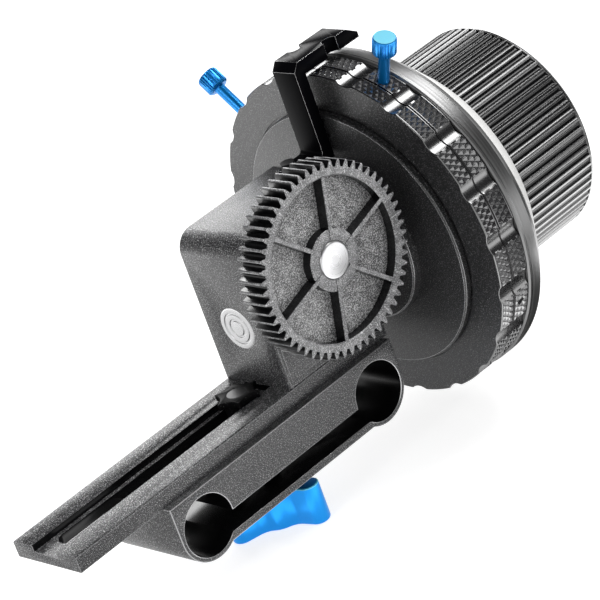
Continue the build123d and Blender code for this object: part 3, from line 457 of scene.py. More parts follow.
@cache
def sector_tree() -> Tree:
    """Build the Geometry Nodes that set copies of one sector round an axis and weld them.

    Returns:
        The tree, with the inputs Count, Centre, Axis, Weld, Material and Second Material. The second
        material goes on faces whose attribute "second" is true.
    """
    wires, inputs, result = node_group(
        "Sectors round an axis", "GeometryNodeTree",
        {"Geometry": "Geometry", "Count": "Int", "Centre": "Vector", "Axis": "Vector", "Weld": "Float",
         "Material": "Material", "Second Material": "Material"}, {"Geometry": "Geometry"})
    given = inputs.outputs
    back = wires.add("ShaderNodeVectorMath", given["Centre"], operation="SCALE", Scale=-1.0)
    sector = wires.add("GeometryNodeTransform", Geometry=given["Geometry"], Translation=back.outputs[0])
    spots = wires.add("GeometryNodePoints", Count=given["Count"], Position=given["Centre"])
    step = wires.sum("DIVIDE", 2 * math.pi, given["Count"])
    angle = wires.sum("MULTIPLY", wires.add("GeometryNodeInputIndex").outputs[0], step)
    turn = wires.add("FunctionNodeAxisAngleToRotation", Axis=given["Axis"], Angle=angle)
    copies = wires.add("GeometryNodeInstanceOnPoints", Points=spots.outputs[0], Instance=sector.outputs[0],
                       Rotation=turn.outputs[0])
    solid = wires.add("GeometryNodeRealizeInstances", Geometry=copies.outputs[0])
    weld = wires.add("GeometryNodeMergeByDistance", Geometry=solid.outputs[0], Distance=given["Weld"])
    first = wires.add("GeometryNodeSetMaterial", Geometry=weld.outputs[0], Material=given["Material"])
    chosen = wires.add("GeometryNodeInputNamedAttribute", data_type="BOOLEAN", Name="second")
    second = wires.add("GeometryNodeSetMaterial", Geometry=first.outputs[0], Material=given["Second Material"],
                       Selection=chosen.outputs["Attribute"])
    wires.fill(result, second.outputs[0])
    return wires.tree


# ---- finishes ----
def grey(level: float, blue: float | None = None) -> Triple:
    """Grey, with the blue channel on its own where it differs."""
    return level, level, level if blue is None else blue


@dataclass(frozen=True)
class Finish:
    """Finish of a surface, built once as a material.

    The colour is blended towards the crest colour where the grain's crests lie; the lighter crests are partly the
    grain's own tone and partly painted glints. Grain and pitch are millimetres, relief is the depth of the grain or
    the rings in millimetres. Cloud is how far the crests gather in broad patches.
    """

    name: str
    colour: Triple
    metallic: float
    roughness: float
    crest_glint_colour: Triple | None = None
    crest_cover: float = 0.5
    crest_roughness: float = 0.3
    grain: float = 0.0
    relief: float = 0.0
    pitch: float = 0.0
    axis: Triple = (1, 0, 0)
    centre: Triple = (0, 0, 0)
    specular: float = 0.5
    cloud: float = 0.0

    def material(self) -> bpy.types.Material:
        """Build the finish's material, or find the one that is built.

        Returns:
            The material.
        """
        if self.name in bpy.data.materials:
            return bpy.data.materials[self.name]
        made, wires, surface = new_material(
            self.name, Base_Color=(*self.colour, 1), Metallic=self.metallic, Roughness=self.roughness,
            Specular_IOR_Level=self.specular)
        for size, work in ((self.grain, self._blast), (self.pitch, self._turn)):
            if size:
                bump = wires.add("ShaderNodeBump", Strength=1.0, Distance=self.relief * MM,
                                 Height=work(wires, surface))
                wires.fill(surface, Normal=bump.outputs[0])
        return made

    def _blast(self, wires: Wires, surface: Node) -> Socket:
        """Add the blasted grain to the colour and the roughness.

        Args:
            wires: Wires of the material.
            surface: The material's shader.

        Returns:
            The grain's height.
        """
        grain = wires.add("ShaderNodeGroup", node_tree=speckle_group(), Grain=self.grain, Cover=self.crest_cover)
        crests = grain.outputs["Crests"]
        # the crests' lighter colour is partly the grain's tone and partly painted glints
        if self.crest_glint_colour:
            mean, colours, mixed = 0.5, (6, 7), 2          # a Mix node's colour sockets go by their numbers
            patches = wires.sum("MULTIPLY", wires.sum("SUBTRACT", grain.outputs["Cloud"], mean), self.cloud)
            tint = wires.add("ShaderNodeMix", wires.sum("ADD", crests, patches, clamp=True), data_type="RGBA")
            for number, colour in zip(colours, (self.colour, self.crest_glint_colour)):
                tint.inputs[number].default_value = (*colour, 1)
            shine = wires.add("ShaderNodeMapRange", Value=crests, To_Min=self.roughness, To_Max=self.crest_roughness)
            wires.fill(surface, Base_Color=tint.outputs[mixed], Roughness=shine.outputs[0])
        return grain.outputs["Height"]

    def _turn(self, wires: Wires, surface: Node) -> Socket:
        """Add the lathe's rings to the roughness.

        Args:
            wires: Wires of the material.
            surface: The material's shader.

        Returns:
            The rings' height.
        """
        rings = wires.add("ShaderNodeGroup", node_tree=turning_group(), Centre=Vector(self.centre) * MM,
                          Axis=self.axis, Pitch=self.pitch)
        dullest, brightest, least, most = 0.3, 0.7, 0.75, 1.25
        shine = wires.add("ShaderNodeMapRange", Value=rings.outputs["Sheen"], From_Min=dullest, From_Max=brightest,
                          To_Min=self.roughness * least, To_Max=self.roughness * most)
        wires.fill(surface, Roughness=shine.outputs[0])
        return rings.outputs["Rings"]


HAND_CENTRE, OUTPUT_CENTRE = tuple(HUB_MIDDLE), tuple(Box.of("gear_spacer").middle)

# crest colours in these finishes are partly grain and partly painted glints
BLASTED = Finish("Blasted black anodised", grey(0.016, 0.018), 0.0, 0.36, grey(0.78, 0.79), 0.54, 0.3,
                 grain=0.24, relief=0.05, cloud=0.1)
# lighter metal on the broken edges: a painted highlight along them
EDGE_HIGHLIGHT = Finish("Broken edges", grey(0.4, 0.405), 0.7, 0.26)
# bright metal on the hub's bevels: a painted highlight along its edges
HUB_EDGE = Finish("Hub, edges in painted highlight", grey(0.6, 0.61), 1.0, 0.22)
RING_FACE = Finish("Ring faces, fine blasted", grey(0.012, 0.013), 0.0, 0.38, grey(0.3, 0.305), 0.5, 0.3,
                   grain=0.26, relief=0.03)
RING_GROOVE = Finish("Ring grooves, bright black", grey(0.005, 0.006), 0.0, 0.26, specular=2.2)
# near black that paints the shade inside bores, slots, deep flute floors and seams
PAINTED_SHADE = Finish("Painted shade in bores, slots, flutes and seams", grey(0.003, 0.0035), 0.0, 0.22, specular=0.32)
# the knurled pads: a glossier black, a little lighter than the ring's faces
KNURL = Finish("Ring knurl, glossy lighter black", grey(0.045, 0.047), 0.2, 0.22, specular=1.8)
KNOB_BLACK = Finish("Knob, black anodised", grey(0.005, 0.006), 0.0, 0.27, specular=1.6)
GLOSS_BLACK = Finish("Arm, gloss black", grey(0.003, 0.004), 0.0, 0.26, grain=0.5, relief=0.004, specular=0.015)
# lighter metal on the arm's bevels: a painted highlight along its edges
ARM_EDGE = Finish("Arm, edge lines in painted highlight", grey(0.42), 0.8, 0.24)
GREY_PLATE = Finish("Dial plate, grey anodised", grey(0.17), 0.9, 0.34, pitch=0.23, relief=0.002, centre=HAND_CENTRE)
BRIGHT_PLUG = Finish("Plug, bare aluminium", grey(0.46, 0.465), 0.9, 0.28, pitch=0.31, relief=0.004,
                     centre=HAND_CENTRE)
BRIGHT_NOSE = Finish("Shaft nose, bare aluminium", grey(0.6, 0.61), 0.8, 0.3, pitch=0.36, relief=0.003,
                     axis=(0, 1, 0), centre=OUTPUT_CENTRE)
BLUE = Finish("Blue anodised", (0.0, 0.27, 0.76), 0.6, 0.24, specular=0.9)
# the thumb screws' flat tops: a lighter, greyer blue than their sides
BLUE_TOP = Finish("Blue anodised, lighter tops", (0.14, 0.56, 0.74), 0.3, 0.3, specular=0.8)
LEVER_BLUE = Finish("Blue anodised, lever", (0.0, 0.3, 0.86), 0.78, 0.3, specular=1.1)
# pale blue on the lever's bevels: a painted highlight along its edges
LEVER_EDGE = Finish("Blue anodised, lever's edges in painted highlight", (0.12, 0.7, 1.0), 0.3, 0.3, specular=1.0)
WHITE = Finish("White marking disc", grey(0.82, 0.81), 0.0, 0.42, grain=0.6, relief=0.004)
GEAR_FACE = Finish("Gear plastic, rough faces", grey(0.09, 0.092), 0.0, 0.32, grey(0.8, 0.81), 0.78, 0.28,
                   grain=0.29, relief=0.06, cloud=1.2)
# near black: painted shade on the gear's flanks, roots and pocket walls; the spacer takes it too
GEAR_SHADE = Finish("Gear plastic, near black painted shade", grey(0.006, 0.007), 0.0, 0.26, specular=0.45)
GEAR_SMOOTH = Finish("Gear plastic, smooth faces", grey(0.1, 0.105), 0.0, 0.3, grey(0.62, 0.63), 0.72, 0.24,
                     grain=0.3, relief=0.03, specular=0.8, cloud=1.4)
NUT_BLACK = Finish("Star nut, black", grey(0.004, 0.0045), 0.0, 0.42, grey(0.1), 0.3, 0.4,
                   grain=0.35, relief=0.03, specular=0.06)
STEEL = Finish("Steel", grey(0.55, 0.56), 1.0, 0.3, grain=0.8, relief=0.004)
BLACK_STEEL = Finish("Blackened steel", grey(0.012, 0.014), 0.2, 0.34, grain=0.5, relief=0.006)


# ---- finished pieces ----
def fit(obj: Object, body: str, node: str) -> None:
    """Tie a finished piece to the frame.

    Args:
        obj: The piece, a plain mesh.
        body: The body that it rides on.
        node: The CAD node that it stands for.
    """
    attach(obj, body)
    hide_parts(node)
    log.info("%s: %d faces on %s", obj.name, len(obj.data.polygons), body)


def dress(finish: Finish, *nodes: str) -> None:
    """Give CAD nodes that stay shown a finish on their objects' slots.

    Args:
        finish: The finish.
        *nodes: The nodes.
    """
    for node in nodes:
        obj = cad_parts[node]
        if not obj.material_slots:
            obj.data.materials.append(None)
        for slot in obj.material_slots:
            slot.link = "OBJECT"
            slot.material = finish.material()
        log.info("%s dressed as %s", node, finish.name)


def refinish(obj: Object, finish: Finish, chosen: Chooser) -> None:
    """Give some of a piece's faces another finish.

    Args:
        obj: The piece, a plain mesh.
        finish: The other finish.
        chosen: Tells from a face's centre in millimetres and its normal whether the face takes it.
    """
    obj.data.materials.append(finish.material())
    number = len(obj.data.materials) - 1
    for face in obj.data.polygons:
        if chosen(face.center / MM, face.normal):
            face.material_index = number


def machined_copy(name: str, node: str, edge: float, finish: Finish, edge_finish: Finish | None = None) -> Object:
    """Copy a CAD node's mesh, merge it and break its outer edges.

    Args:
        name: Name of the copy.
        node: The CAD node.
        edge: Width of the broken edges.
        finish: Finish of the copy.
        edge_finish: Finish of the broken edges, where it isn't that of the faces.

    Returns:
        The copy, a plain mesh.
    """
    same_point, flat, outer_edge = 0.001, math.radians(0.3), math.radians(28)
    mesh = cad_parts[node].data.copy()
    mesh.name = name
    made = bmesh.new()
    made.from_mesh(mesh)
    bmesh.ops.remove_doubles(made, verts=made.verts, dist=same_point * MM)
    bmesh.ops.dissolve_limit(made, angle_limit=flat, verts=made.verts, edges=made.edges)
    weight = made.edges.layers.float.new("bevel_weight_edge")
    for line in made.edges:
        line[weight] = float(len(line.link_faces) == 2 and line.is_convex and line.calc_face_angle() > outer_edge)
    made.to_mesh(mesh)
    made.free()
    mesh.materials.clear()
    mesh.materials.append(finish.material())
    # the bevels take slot 1; where that finish is lighter than the faces, it paints a highlight along the edges
    mesh.materials.append((edge_finish or finish).material())
    obj = linked(name, mesh)
    breaker = obj.modifiers.new("Broken edges", "BEVEL")
    breaker.width, breaker.segments, breaker.limit_method, breaker.material = edge * MM, 2, "WEIGHT", 1
    settle(obj)
    return obj


def machined(name: str, node: str, body: str, edge: float, finish: Finish, edge_finish: Finish | None = None,
             dark: Chooser | None = None) -> None:
    """Copy a CAD node with broken edges and fit the copy.

    Args:
        name: Name of the copy.
        node: The CAD node that it stands for.
        body: The body that it rides on.
        edge: Width of the broken edges.
        finish: Finish of the copy.
        edge_finish: Finish of the broken edges, where it isn't that of the faces.
        dark: Tells from a face's centre and normal whether it lines a bore or a slot, and so takes painted shade.
    """
    copy = machined_copy(name, node, edge, finish, edge_finish)
    if dark:
        refinish(copy, PAINTED_SHADE, dark)
    fit(copy, body, node)


def turned_piece(name: str, node: str, body: str, finish: Finish, axis: Vector,
                 profile: Sequence[Point2], edge: float, segments: int) -> None:
    """Turn a piece about a line along X and fit it.

    Args:
        name: Name of the piece.
        node: The CAD node that it stands for.
        body: The body that it rides on.
        finish: Its finish.
        axis: A point on its axis, with x 0.
        profile: (height, radius) points, with heights from the node's low end.
        edge: Radius of the profile's rounded corners.
        segments: Number of spans round the axis.
    """
    frame_of = place(Lie.ALONG_X, axis + Vector((Box.of(node).low.x, 0, 0)))
    piece = turned(name, profile, frame_of, segments, edge)
    settle(piece)
    piece.data.materials.append(finish.material())
    fit(piece, body, node)


def round_axis(obj: Object, count: int, centre: Vector, axis: Sequence[float], first: Finish,
               second: Finish | None = None, smooth: float = SMOOTH) -> Object:
    """Repeat a sector round an axis and leave a plain mesh.

    Args:
        obj: The sector, whose mesh is replaced.
        count: Number of sectors.
        centre: A point on the axis.
        axis: Direction of the axis.
        first: Finish of the piece.
        second: Finish of the faces marked "second".
        smooth: Edges sharper than this angle stay sharp.

    Returns:
        The same object, now the whole piece.
    """
    weld = 0.002
    tree = sector_tree()
    values = {"Count": count, "Centre": Vector(centre) * MM, "Axis": Vector(axis), "Weld": weld * MM,
              "Material": first.material(), "Second Material": (second or first).material()}
    modifier = obj.modifiers.new(tree.name, "NODES")
    modifier.node_group = tree
    for item in tree.interface.items_tree:
        if item.in_out == "INPUT" and item.name in values:
            modifier[item.identifier] = values[item.name]
    obj.update_tag()
    settle(obj, smooth)
    return obj


# ---- sub-assemblies ----
@dataclass
class RodClamp:
    """Clamp for two rods, with its stud, star nut, washer and blue lever."""

    edge: float = 0.3
    lever_edge: float = 0.35
    nut_edge: float = 0.2
    outer_wall: float = 0.9

    def build(self) -> None:
        """Build the clamp's pieces."""
        box, near_middle = Box.of("rod_clamp"), 0.5

        def inside(centre: Vector, normal: Vector) -> bool:
            """Whether a face lines a bore or the slot between the bores, where shade is painted."""
            faces_in = abs(normal.y) < WALL_SHARE and centre.z * normal.z <= near_middle
            return faces_in and box.holds(centre, "xz", self.outer_wall)

        machined("rod_clamp_body", "rod_clamp", "clamp", self.edge, BLASTED, EDGE_HIGHLIGHT, inside)
        machined("star_nut", "slot_nut", "clamp", self.nut_edge, NUT_BLACK, BLACK_STEEL)
        machined("clamping_lever", "clamp_lever", "clamp_lever", self.lever_edge, LEVER_BLUE,
                 LEVER_EDGE)
        dress(BLACK_STEEL, "clamp_stud")
        dress(STEEL, "clamp_washer")


@dataclass
class Carriage:
    """Rail, gearbox, boss, plug and index arm."""

    rail_edge: float = 0.25
    rail_margin: float = 1.0
    box_edge: float = 0.35
    cover_edge: float = 0.08
    arm_edge: float = 0.22
    plug_rings: tuple[Point2, ...] = ((3.7, 4.4), (1.9, 2.6))
    plug_ring_depth: float = 0.16
    plug_ring_slope: float = 0.15
    plug_edge: float = 0.12

    def build(self) -> None:
        """Build the carriage's pieces."""
        rail = Box.of("slide_rail")

        def in_rail(centre: Vector, normal: Vector) -> bool:
            """Whether a face is a wall of the rail's groove or slot, where shade is painted."""
            return abs(normal.z) < WALL_SHARE and rail.holds(centre, "xy", self.rail_margin)

        for name, node, edge, dark in (("slide_rail_body", "slide_rail", self.rail_edge, in_rail),
                                       ("gearbox_body", "gearbox_housing", self.box_edge, None),
                                       ("gearbox_front_plate", "gearbox_cover", self.cover_edge, None),
                                       ("shaft_boss", "bearing_boss", self.rail_edge, None)):
            machined(name, node, "carriage", edge, BLASTED, EDGE_HIGHLIGHT, dark)
        self.plug()
        machined("index_arm_body", "index_arm", "carriage", self.arm_edge, GLOSS_BLACK, ARM_EDGE)
        dress(BLACK_STEEL, "rail_screws", "cover_screws", "boss_screws", "arm_screws")
        dress(STEEL, "hand_bearing_left", "hand_bearing_right", "output_bearing_front", "output_bearing_rear")

    def plug(self) -> None:
        """Turn the bright plug with its rings."""
        box = Box.of("shaft_plug")
        radius, height = box.size.y / 2, box.size.x
        depth, slope = self.plug_ring_depth, self.plug_ring_slope
        profile: list[Point2] = [(height, 0), (height, radius), (0, radius)]
        for inner, outer in self.plug_rings:
            profile += [(0, outer), (depth, outer - slope), (depth, inner + slope), (0, inner)]
        turned_piece("plug_with_rings", "shaft_plug", "carriage", BRIGHT_PLUG,
                     Vector((0, box.middle.y, box.middle.z)), [*profile, (0, 0)], self.plug_edge, segments=96)


@dataclass
class DriveGear:
    """Lens gear with its spacer and the bright nose of the output shaft."""

    teeth: int = 57
    module: float = 0.8
    pressure_angle: float = 20.0
    dedendum: float = 1.0
    backlash: float = 0.1
    rim: float = 2.0
    front_recess: float = 3.0
    web: float = 2.4
    web_edge: float = 0.3
    hub_radius: float = 7.6
    hub_sunk: float = 0.27
    rib_count: int = 6
    rib_width: float = 1.1
    rib_slope: float = 0.12
    rib_edge: float = 0.15
    rib_gap: float = 0.02
    rib_root: float = 0.2
    first_rib: float = 16.3
    tooth_edge: float = 0.14
    tip_width: float = 0.12
    tip_drop: float = 0.1
    root_lift: float = 0.05
    bore_edge: float = 0.35
    nose_gap: float = 0.02
    nose_edge: float = 0.2
    flank_points: int = 5

    def build(self) -> None:
        """Build the gear and what sits with it."""
        gear = joined("lens_gear", [self.toothed_rim(), self.web_and_hub(), self.ribs()])
        self.finish_walls(gear)
        fit(gear, "output", "drive_gear")
        # the spacer takes the near-black painted shade of the gear's walls
        dress(GEAR_SHADE, "gear_spacer")
        machined("output_shaft_body", "output_shaft", "output", self.nose_edge, BRIGHT_NOSE)
        dress(STEEL, "screw_gear_output", "output_retaining_ring")

    @property
    def box(self) -> Box:
        """Box of the gear."""
        return Box.of("drive_gear")

    @property
    def axis(self) -> Vector:
        """A point on the gear's axis."""
        return Vector((self.box.middle.x, 0, self.box.middle.z))

    @property
    def pitch_radius(self) -> float:
        """Radius of the pitch circle."""
        return self.teeth * self.module / 2

    @property
    def root_radius(self) -> float:
        """Radius at the roots of the teeth."""
        return self.pitch_radius - self.dedendum

    @property
    def rim_radius(self) -> float:
        """Radius inside the rim."""
        return self.root_radius - self.rim

    def tooth(self) -> list[Point2]:
        """Outline of one tooth from gap middle to gap middle, as (radius, angle) points.

        Returns:
            The points, with angles in radians about the tooth's middle.
        """
        pitch_r, root_r = self.pitch_radius, self.root_radius
        base_r = pitch_r * math.cos(math.radians(self.pressure_angle))
        tip_r = pitch_r + self.module

        def involute(radius: float) -> float:
            """Involute function of the pressure angle at a radius."""
            local = math.acos(min(1.0, base_r / radius))
            return math.tan(local) - local

        def half(radius: float) -> float:
            """Half of the angle that the tooth fills at a radius."""
            at_pitch = math.pi / (2 * self.teeth) - self.backlash / (2 * pitch_r)
            return at_pitch + involute(pitch_r) - involute(radius)

        start_r, limit, spans = max(root_r, base_r), math.pi / self.teeth, self.flank_points - 1
        radii = [start_r + (tip_r - start_r) * k / spans for k in range(self.flank_points)]
        first, last = half(radii[0]), half(radii[-1])
        flank = [(r, half(r)) for r in (*radii[:-1], tip_r - self.tip_drop)]
        right = [(root_r, limit), (root_r, (limit + first) / 2),
                 (root_r + self.root_lift, first + self.tip_width / start_r), *flank,
                 (tip_r, max(0.0, last - self.tip_width / tip_r))]
        return [(r, -a) for r, a in right] + [(r, a) for r, a in reversed(right)]

    def toothed_rim(self) -> Object:
        """Build one tooth with its piece of rim and repeat it round the gear.

        Returns:
            The rim.
        """
        inner, edge, bore_edge = self.rim_radius, self.tooth_edge, self.bore_edge
        front, back, outline = self.box.low.y, self.box.high.y, self.tooth()
        taper, gap_middle = 0.12, 0.98 * math.pi / self.teeth
        frame_of, rows = place(Lie.TO_FRONT, self.axis), []
        # a level's place, and how far the outline shrinks there or, from inner up, the level's only radius
        for y, drop in ((front + bore_edge, inner), (front, inner + bore_edge), (front, edge), (front + edge, 0.0),
                        (back - edge, 0.0), (back, edge), (back, inner + bore_edge), (back - bore_edge, inner)):
            at_bore = drop >= inner
            shrink = 1.0 if at_bore else 1 - taper * drop
            rows.append([polar(frame_of, drop if at_bore else r - drop, a * shrink if abs(a) < gap_middle else a, -y)
                         for r, a in outline])
        rim = mesh_object("gear_rim", *sheet_of_rows(rows))
        return round_axis(rim, self.teeth, self.axis, (0, 1, 0), GEAR_FACE, smooth=SMOOTH_GEAR)

    def web_and_hub(self) -> Object:
        """Turn the sunk web and the hub in one piece.

        Returns:
            The web with its hub.
        """
        box, hub_r, sunk, width = self.box, self.hub_radius, self.hub_sunk, self.box.size.y
        start, end, into_rim = self.front_recess, self.front_recess + self.web, 0.15
        inner, outer = Box.of("output_shaft").radius + self.nose_gap, self.rim_radius + into_rim
        hub = turned("gear_web", [(sunk, inner), (sunk, hub_r), (start, hub_r), (start, outer), (end, outer),
                                  (end, hub_r), (width, hub_r), (width, inner)],
                     place(Lie.ALONG_Y, (box.middle.x, box.low.y, box.middle.z)), segments=120, edge=self.web_edge)
        hub.data.materials.append(GEAR_FACE.material())
        settle(hub)
        return hub

    def ribs(self) -> Object:
        """Repeat one thin rib on each side of the web.

        Returns:
            The ribs.
        """
        box, half, slope, edge, root = self.box, self.rib_width / 2, self.rib_slope, self.rib_edge, self.rib_root
        from_nose = 0.3
        start, end = Box.of("output_shaft").radius + from_nose, self.rim_radius + root
        frame_of = place(Lie.TO_FRONT, self.axis)
        turn = Matrix.Rotation(math.radians(self.first_rib), 3, "Z")
        points: list[Vector] = []
        faces: list[list[int]] = []
        for base, top in ((self.front_recess + root, self.rib_gap),
                          (self.front_recess + self.web - root, box.size.y - self.rib_gap)):
            first = len(points)
            toward = edge if top < base else -edge
            for depth, side in ((base, half + slope), (top + toward, half), (top, half - edge)):
                for radius, across in ((start, -side), (end, -side), (end, side), (start, side)):
                    points.append(frame_of @ (turn @ Vector((radius, across, -box.low.y - depth))))
            for level in (first, first + 4):
                for k in range(4):
                    a, b = level + k, level + (k + 1) % 4
                    faces.append([a, b, b + 4, a + 4])
            faces += [list(range(first, first + 4)), list(range(first + 8, first + 12))]
        rib = mesh_object("gear_ribs", points, faces)
        return round_axis(rib, self.rib_count, self.axis, (0, 1, 0), GEAR_SMOOTH)

    def finish_walls(self, gear: Object) -> None:
        """Give the walls along the axis their near-black painted shade, and the teeth's tips, the rim and the hub's
        face their finishes.

        Args:
            gear: The whole gear.
        """
        slots = gear.data.materials
        slots.append(GEAR_SHADE.material())
        wall, smooth = len(slots) - 1, slots.find(GEAR_SMOOTH.name)
        tip_edge, hub_edge, along = 0.06, 0.2, 0.6
        tip_r, hub_r = self.pitch_radius + self.module - tip_edge, self.hub_radius - hub_edge
        middle, rim_r, root_r = self.box.middle, self.rim_radius, self.root_radius
        for face in gear.data.polygons:
            centre = face.center / MM - middle
            radius = math.hypot(centre.x, centre.z)
            if radius > tip_r:
                face.material_index = smooth
            # flanks, roots and pocket and rib walls: painted shade
            elif abs(face.normal.y) < along:
                face.material_index = wall
            elif radius < hub_r or rim_r < radius < root_r:
                face.material_index = smooth


@dataclass
class StopRing:
    """Ring with smooth grooves between knurled pads."""

    node: str
    holes: tuple[Point2, ...]
    step_radius: float = 0.0
    # whether the edge at the ring's start seam also takes painted shade
    dark_start: bool = False
    grooves: int = 20
    groove_phase: float = 178.2
    groove_depth: float = 0.9
    groove_radius: float = 4.35
    groove_spans: int = 7
    groove_edge: float = 0.12
    edge: float = 0.22
    inner_edge: float = 0.35
    margin: float = 0.2
    margin_slope: float = 0.02
    step_depth: float = 0.3
    below_dial: float = 0.3
    dial_bevel: float = 2.15
    wall: float = 11.7
    bore_gap: float = 0.05
    hole_reach: Point2 = (-4.0, 2.0)
    knurl_depth: float = 0.42
    knurl_flat: float = 1.35
    knurl_across: int = 10
    knurl_along: int = 3

    @property
    def radius(self) -> float:
        """Radius over the pads."""
        return Box.of("dial_plate").radius - self.below_dial

    def groove_half(self, radius: float, centre_r: float) -> float:
        """Half of the angle that a groove takes, in radians, from the radii of the pads and its centre."""
        return math.acos((radius ** 2 + centre_r ** 2 - self.groove_radius ** 2) / (2 * radius * centre_r))

    def build(self) -> None:
        """Build one sector with a pad in its middle, and repeat it."""
        box, radius = Box.of(self.node), self.radius
        start, end = box.low.x, box.high.x
        rows, second = self.rows(start, end, radius)
        frame_of = place(Lie.ALONG_X, HAND_AXIS)
        ring = mesh_object(self.node + "_body", *sheet_of_rows(
            [[polar(frame_of, r, angle, x) for x, r, angle, _ in row] for row in rows],
            lambda r, c: rows[r][c][3] == 0.0))
        mark = ring.data.attributes.new("second", "BOOLEAN", "FACE")
        width = len(rows[0])
        for face in ring.data.polygons:
            mark.data[face.index].value = all(v // width in second for v in face.vertices)
        round_axis(ring, self.grooves, HAND_AXIS, (1, 0, 0), RING_FACE, RING_GROOVE, smooth=SMOOTH_RING)
        groove = ring.data.materials.find(RING_GROOVE.name)
        pitch, phase = 2 * math.pi / self.grooves, math.radians(self.groove_phase)
        groove_half = self.groove_half(radius, radius + self.groove_radius - self.groove_depth)
        facing_end = 0.95

        def knurled(centre: Vector, normal: Vector) -> bool:
            """Whether a face belongs to a knurled pad.

            Args:
                centre: The face's centre.
                normal: Its normal.

            Returns:
                Whether it does.
            """
            arm = centre - HAND_AXIS
            from_groove = (math.atan2(arm.z, arm.y) - phase) % pitch
            on_pad = groove_half < from_groove < pitch - groove_half
            across = self.edge < min(centre.x - start, end - centre.x)
            return on_pad and across and math.hypot(arm.y, arm.z) > radius - self.knurl_depth

        def at_seam(centre: Vector, normal: Vector) -> bool:
            """Whether a face belongs to an edge at a seam, where shade is painted.

            Args:
                centre: The face's centre.
                normal: Its normal.

            Returns:
                Whether it does.
            """
            arm = centre - HAND_AXIS
            outside = math.hypot(arm.y, arm.z) > radius - self.groove_depth - self.edge
            near = end - centre.x < self.edge or (self.dark_start and centre.x - start < self.edge)
            return outside and near and abs(normal.x) < facing_end

        refinish(ring, KNURL, knurled)
        # painted shade along the edges at the ring's seams
        refinish(ring, PAINTED_SHADE, at_seam)
        centre = Vector((box.middle.x, HAND_AXIS.y, HAND_AXIS.z))
        for angle, hole_radius in self.holes:
            out = Vector((0, math.cos(math.radians(angle)), math.sin(math.radians(angle))))
            low, high = self.hole_reach
            drilled(ring, centre, out, hole_radius, (radius + low, radius + high), groove)
        fit(ring, self.node, self.node)

    def rows(self, start: float, end: float, radius: float) -> tuple[list[list[RingPoint]], set[int]]:
        """Rows of points round the section of the ring.

        Args:
            start: Left face of the ring.
            end: Right face of the ring.
            radius: Radius over the pads.

        Returns:
            The rows of (x, radius, angle, knurl's height or None off the knurl), and the outer surface's rows.
        """
        bore = Box.of("marking_disc").radius + self.dial_bevel - self.below_dial - self.wall + self.bore_gap
        half_pitch = math.pi / self.grooves
        centre_r = radius + self.groove_radius - self.groove_depth
        groove_half = self.groove_half(radius, centre_r)
        pad_half = half_pitch - groove_half
        middle = math.radians(self.groove_phase) + half_pitch

        def groove_r(from_centre: float) -> float:
            """Radius of the groove's floor at an angle from the groove's middle."""
            side = centre_r * math.sin(from_centre)
            return centre_r * math.cos(from_centre) - math.sqrt(self.groove_radius ** 2 - side ** 2)

        fine = 2 * self.knurl_across
        offs = [groove_half * k / self.groove_spans for k in range(self.groove_spans)]
        columns: list[tuple[float, float, int | None]] = [(-half_pitch + off, groove_r(off), None) for off in offs]
        columns += [(-pad_half + 2 * pad_half * k / fine, radius, k) for k in range(fine + 1)]
        columns += [(half_pitch - off, groove_r(off), None) for off in reversed(offs)]

        def tooth(count: float) -> float:
            """Height from 0 on a valley line to 1 between two of them."""
            return abs(count % 2 - 1)

        def row(x: float, drop: float = 0.0, groove_drop: float = 0.0, along: float | None = None
                ) -> list[RingPoint]:
            """One row across the outer surface.

            Args:
                x: Place along the axis.
                drop: How far the pad lies below the ring's radius.
                groove_drop: How far the groove's edge lies below its floor's radius.
                along: Place on the knurl, in half diamonds, or None off the knurl.

            Returns:
                The row's points.
            """
            spots: list[RingPoint] = []
            for angle, floor_r, pad in columns:
                level = None
                if pad is None:
                    r = min(radius - drop, floor_r - groove_drop)
                elif along is None:
                    r = radius - drop
                else:
                    level = min(1.0, min(tooth(pad / 2 + along), tooth(pad / 2 - along)) * self.knurl_flat)
                    r = radius - self.knurl_depth * (1 - level)
                spots.append((x, r, middle + angle, level))
            return spots

        def flat(x: float, level: float) -> list[RingPoint]:
            """One row at a constant radius."""
            return [(x, level, middle + angle, None) for angle, _, _ in columns]

        section = [flat(start, bore)]
        if self.step_radius:
            sunk = start + self.step_depth
            section = [flat(sunk, bore), flat(sunk, self.step_radius), flat(start, self.step_radius)]
        first_outer = len(section) + 1
        ends = [(0.0, self.edge + self.inner_edge, self.inner_edge), (0.0, self.edge, self.groove_edge),
                (self.groove_edge, self.edge - self.groove_edge, 0.0), (self.edge, 0.0, 0.0)]
        low, high = start + self.edge + self.margin, end - self.edge - self.margin
        fine_along = 2 * self.knurl_along
        section += [row(start + off, *drops) for off, *drops in ends]
        section.append(row(low - self.margin_slope))
        section += [row(low + (high - low) * k / fine_along, along=k / 2) for k in range(fine_along + 1)]
        section.append(row(high + self.margin_slope))
        section += [row(end - off, *drops) for off, *drops in reversed(ends)]
        last_outer = len(section) - 2
        return [*section, flat(end, bore)], set(range(first_outer, last_outer + 1))


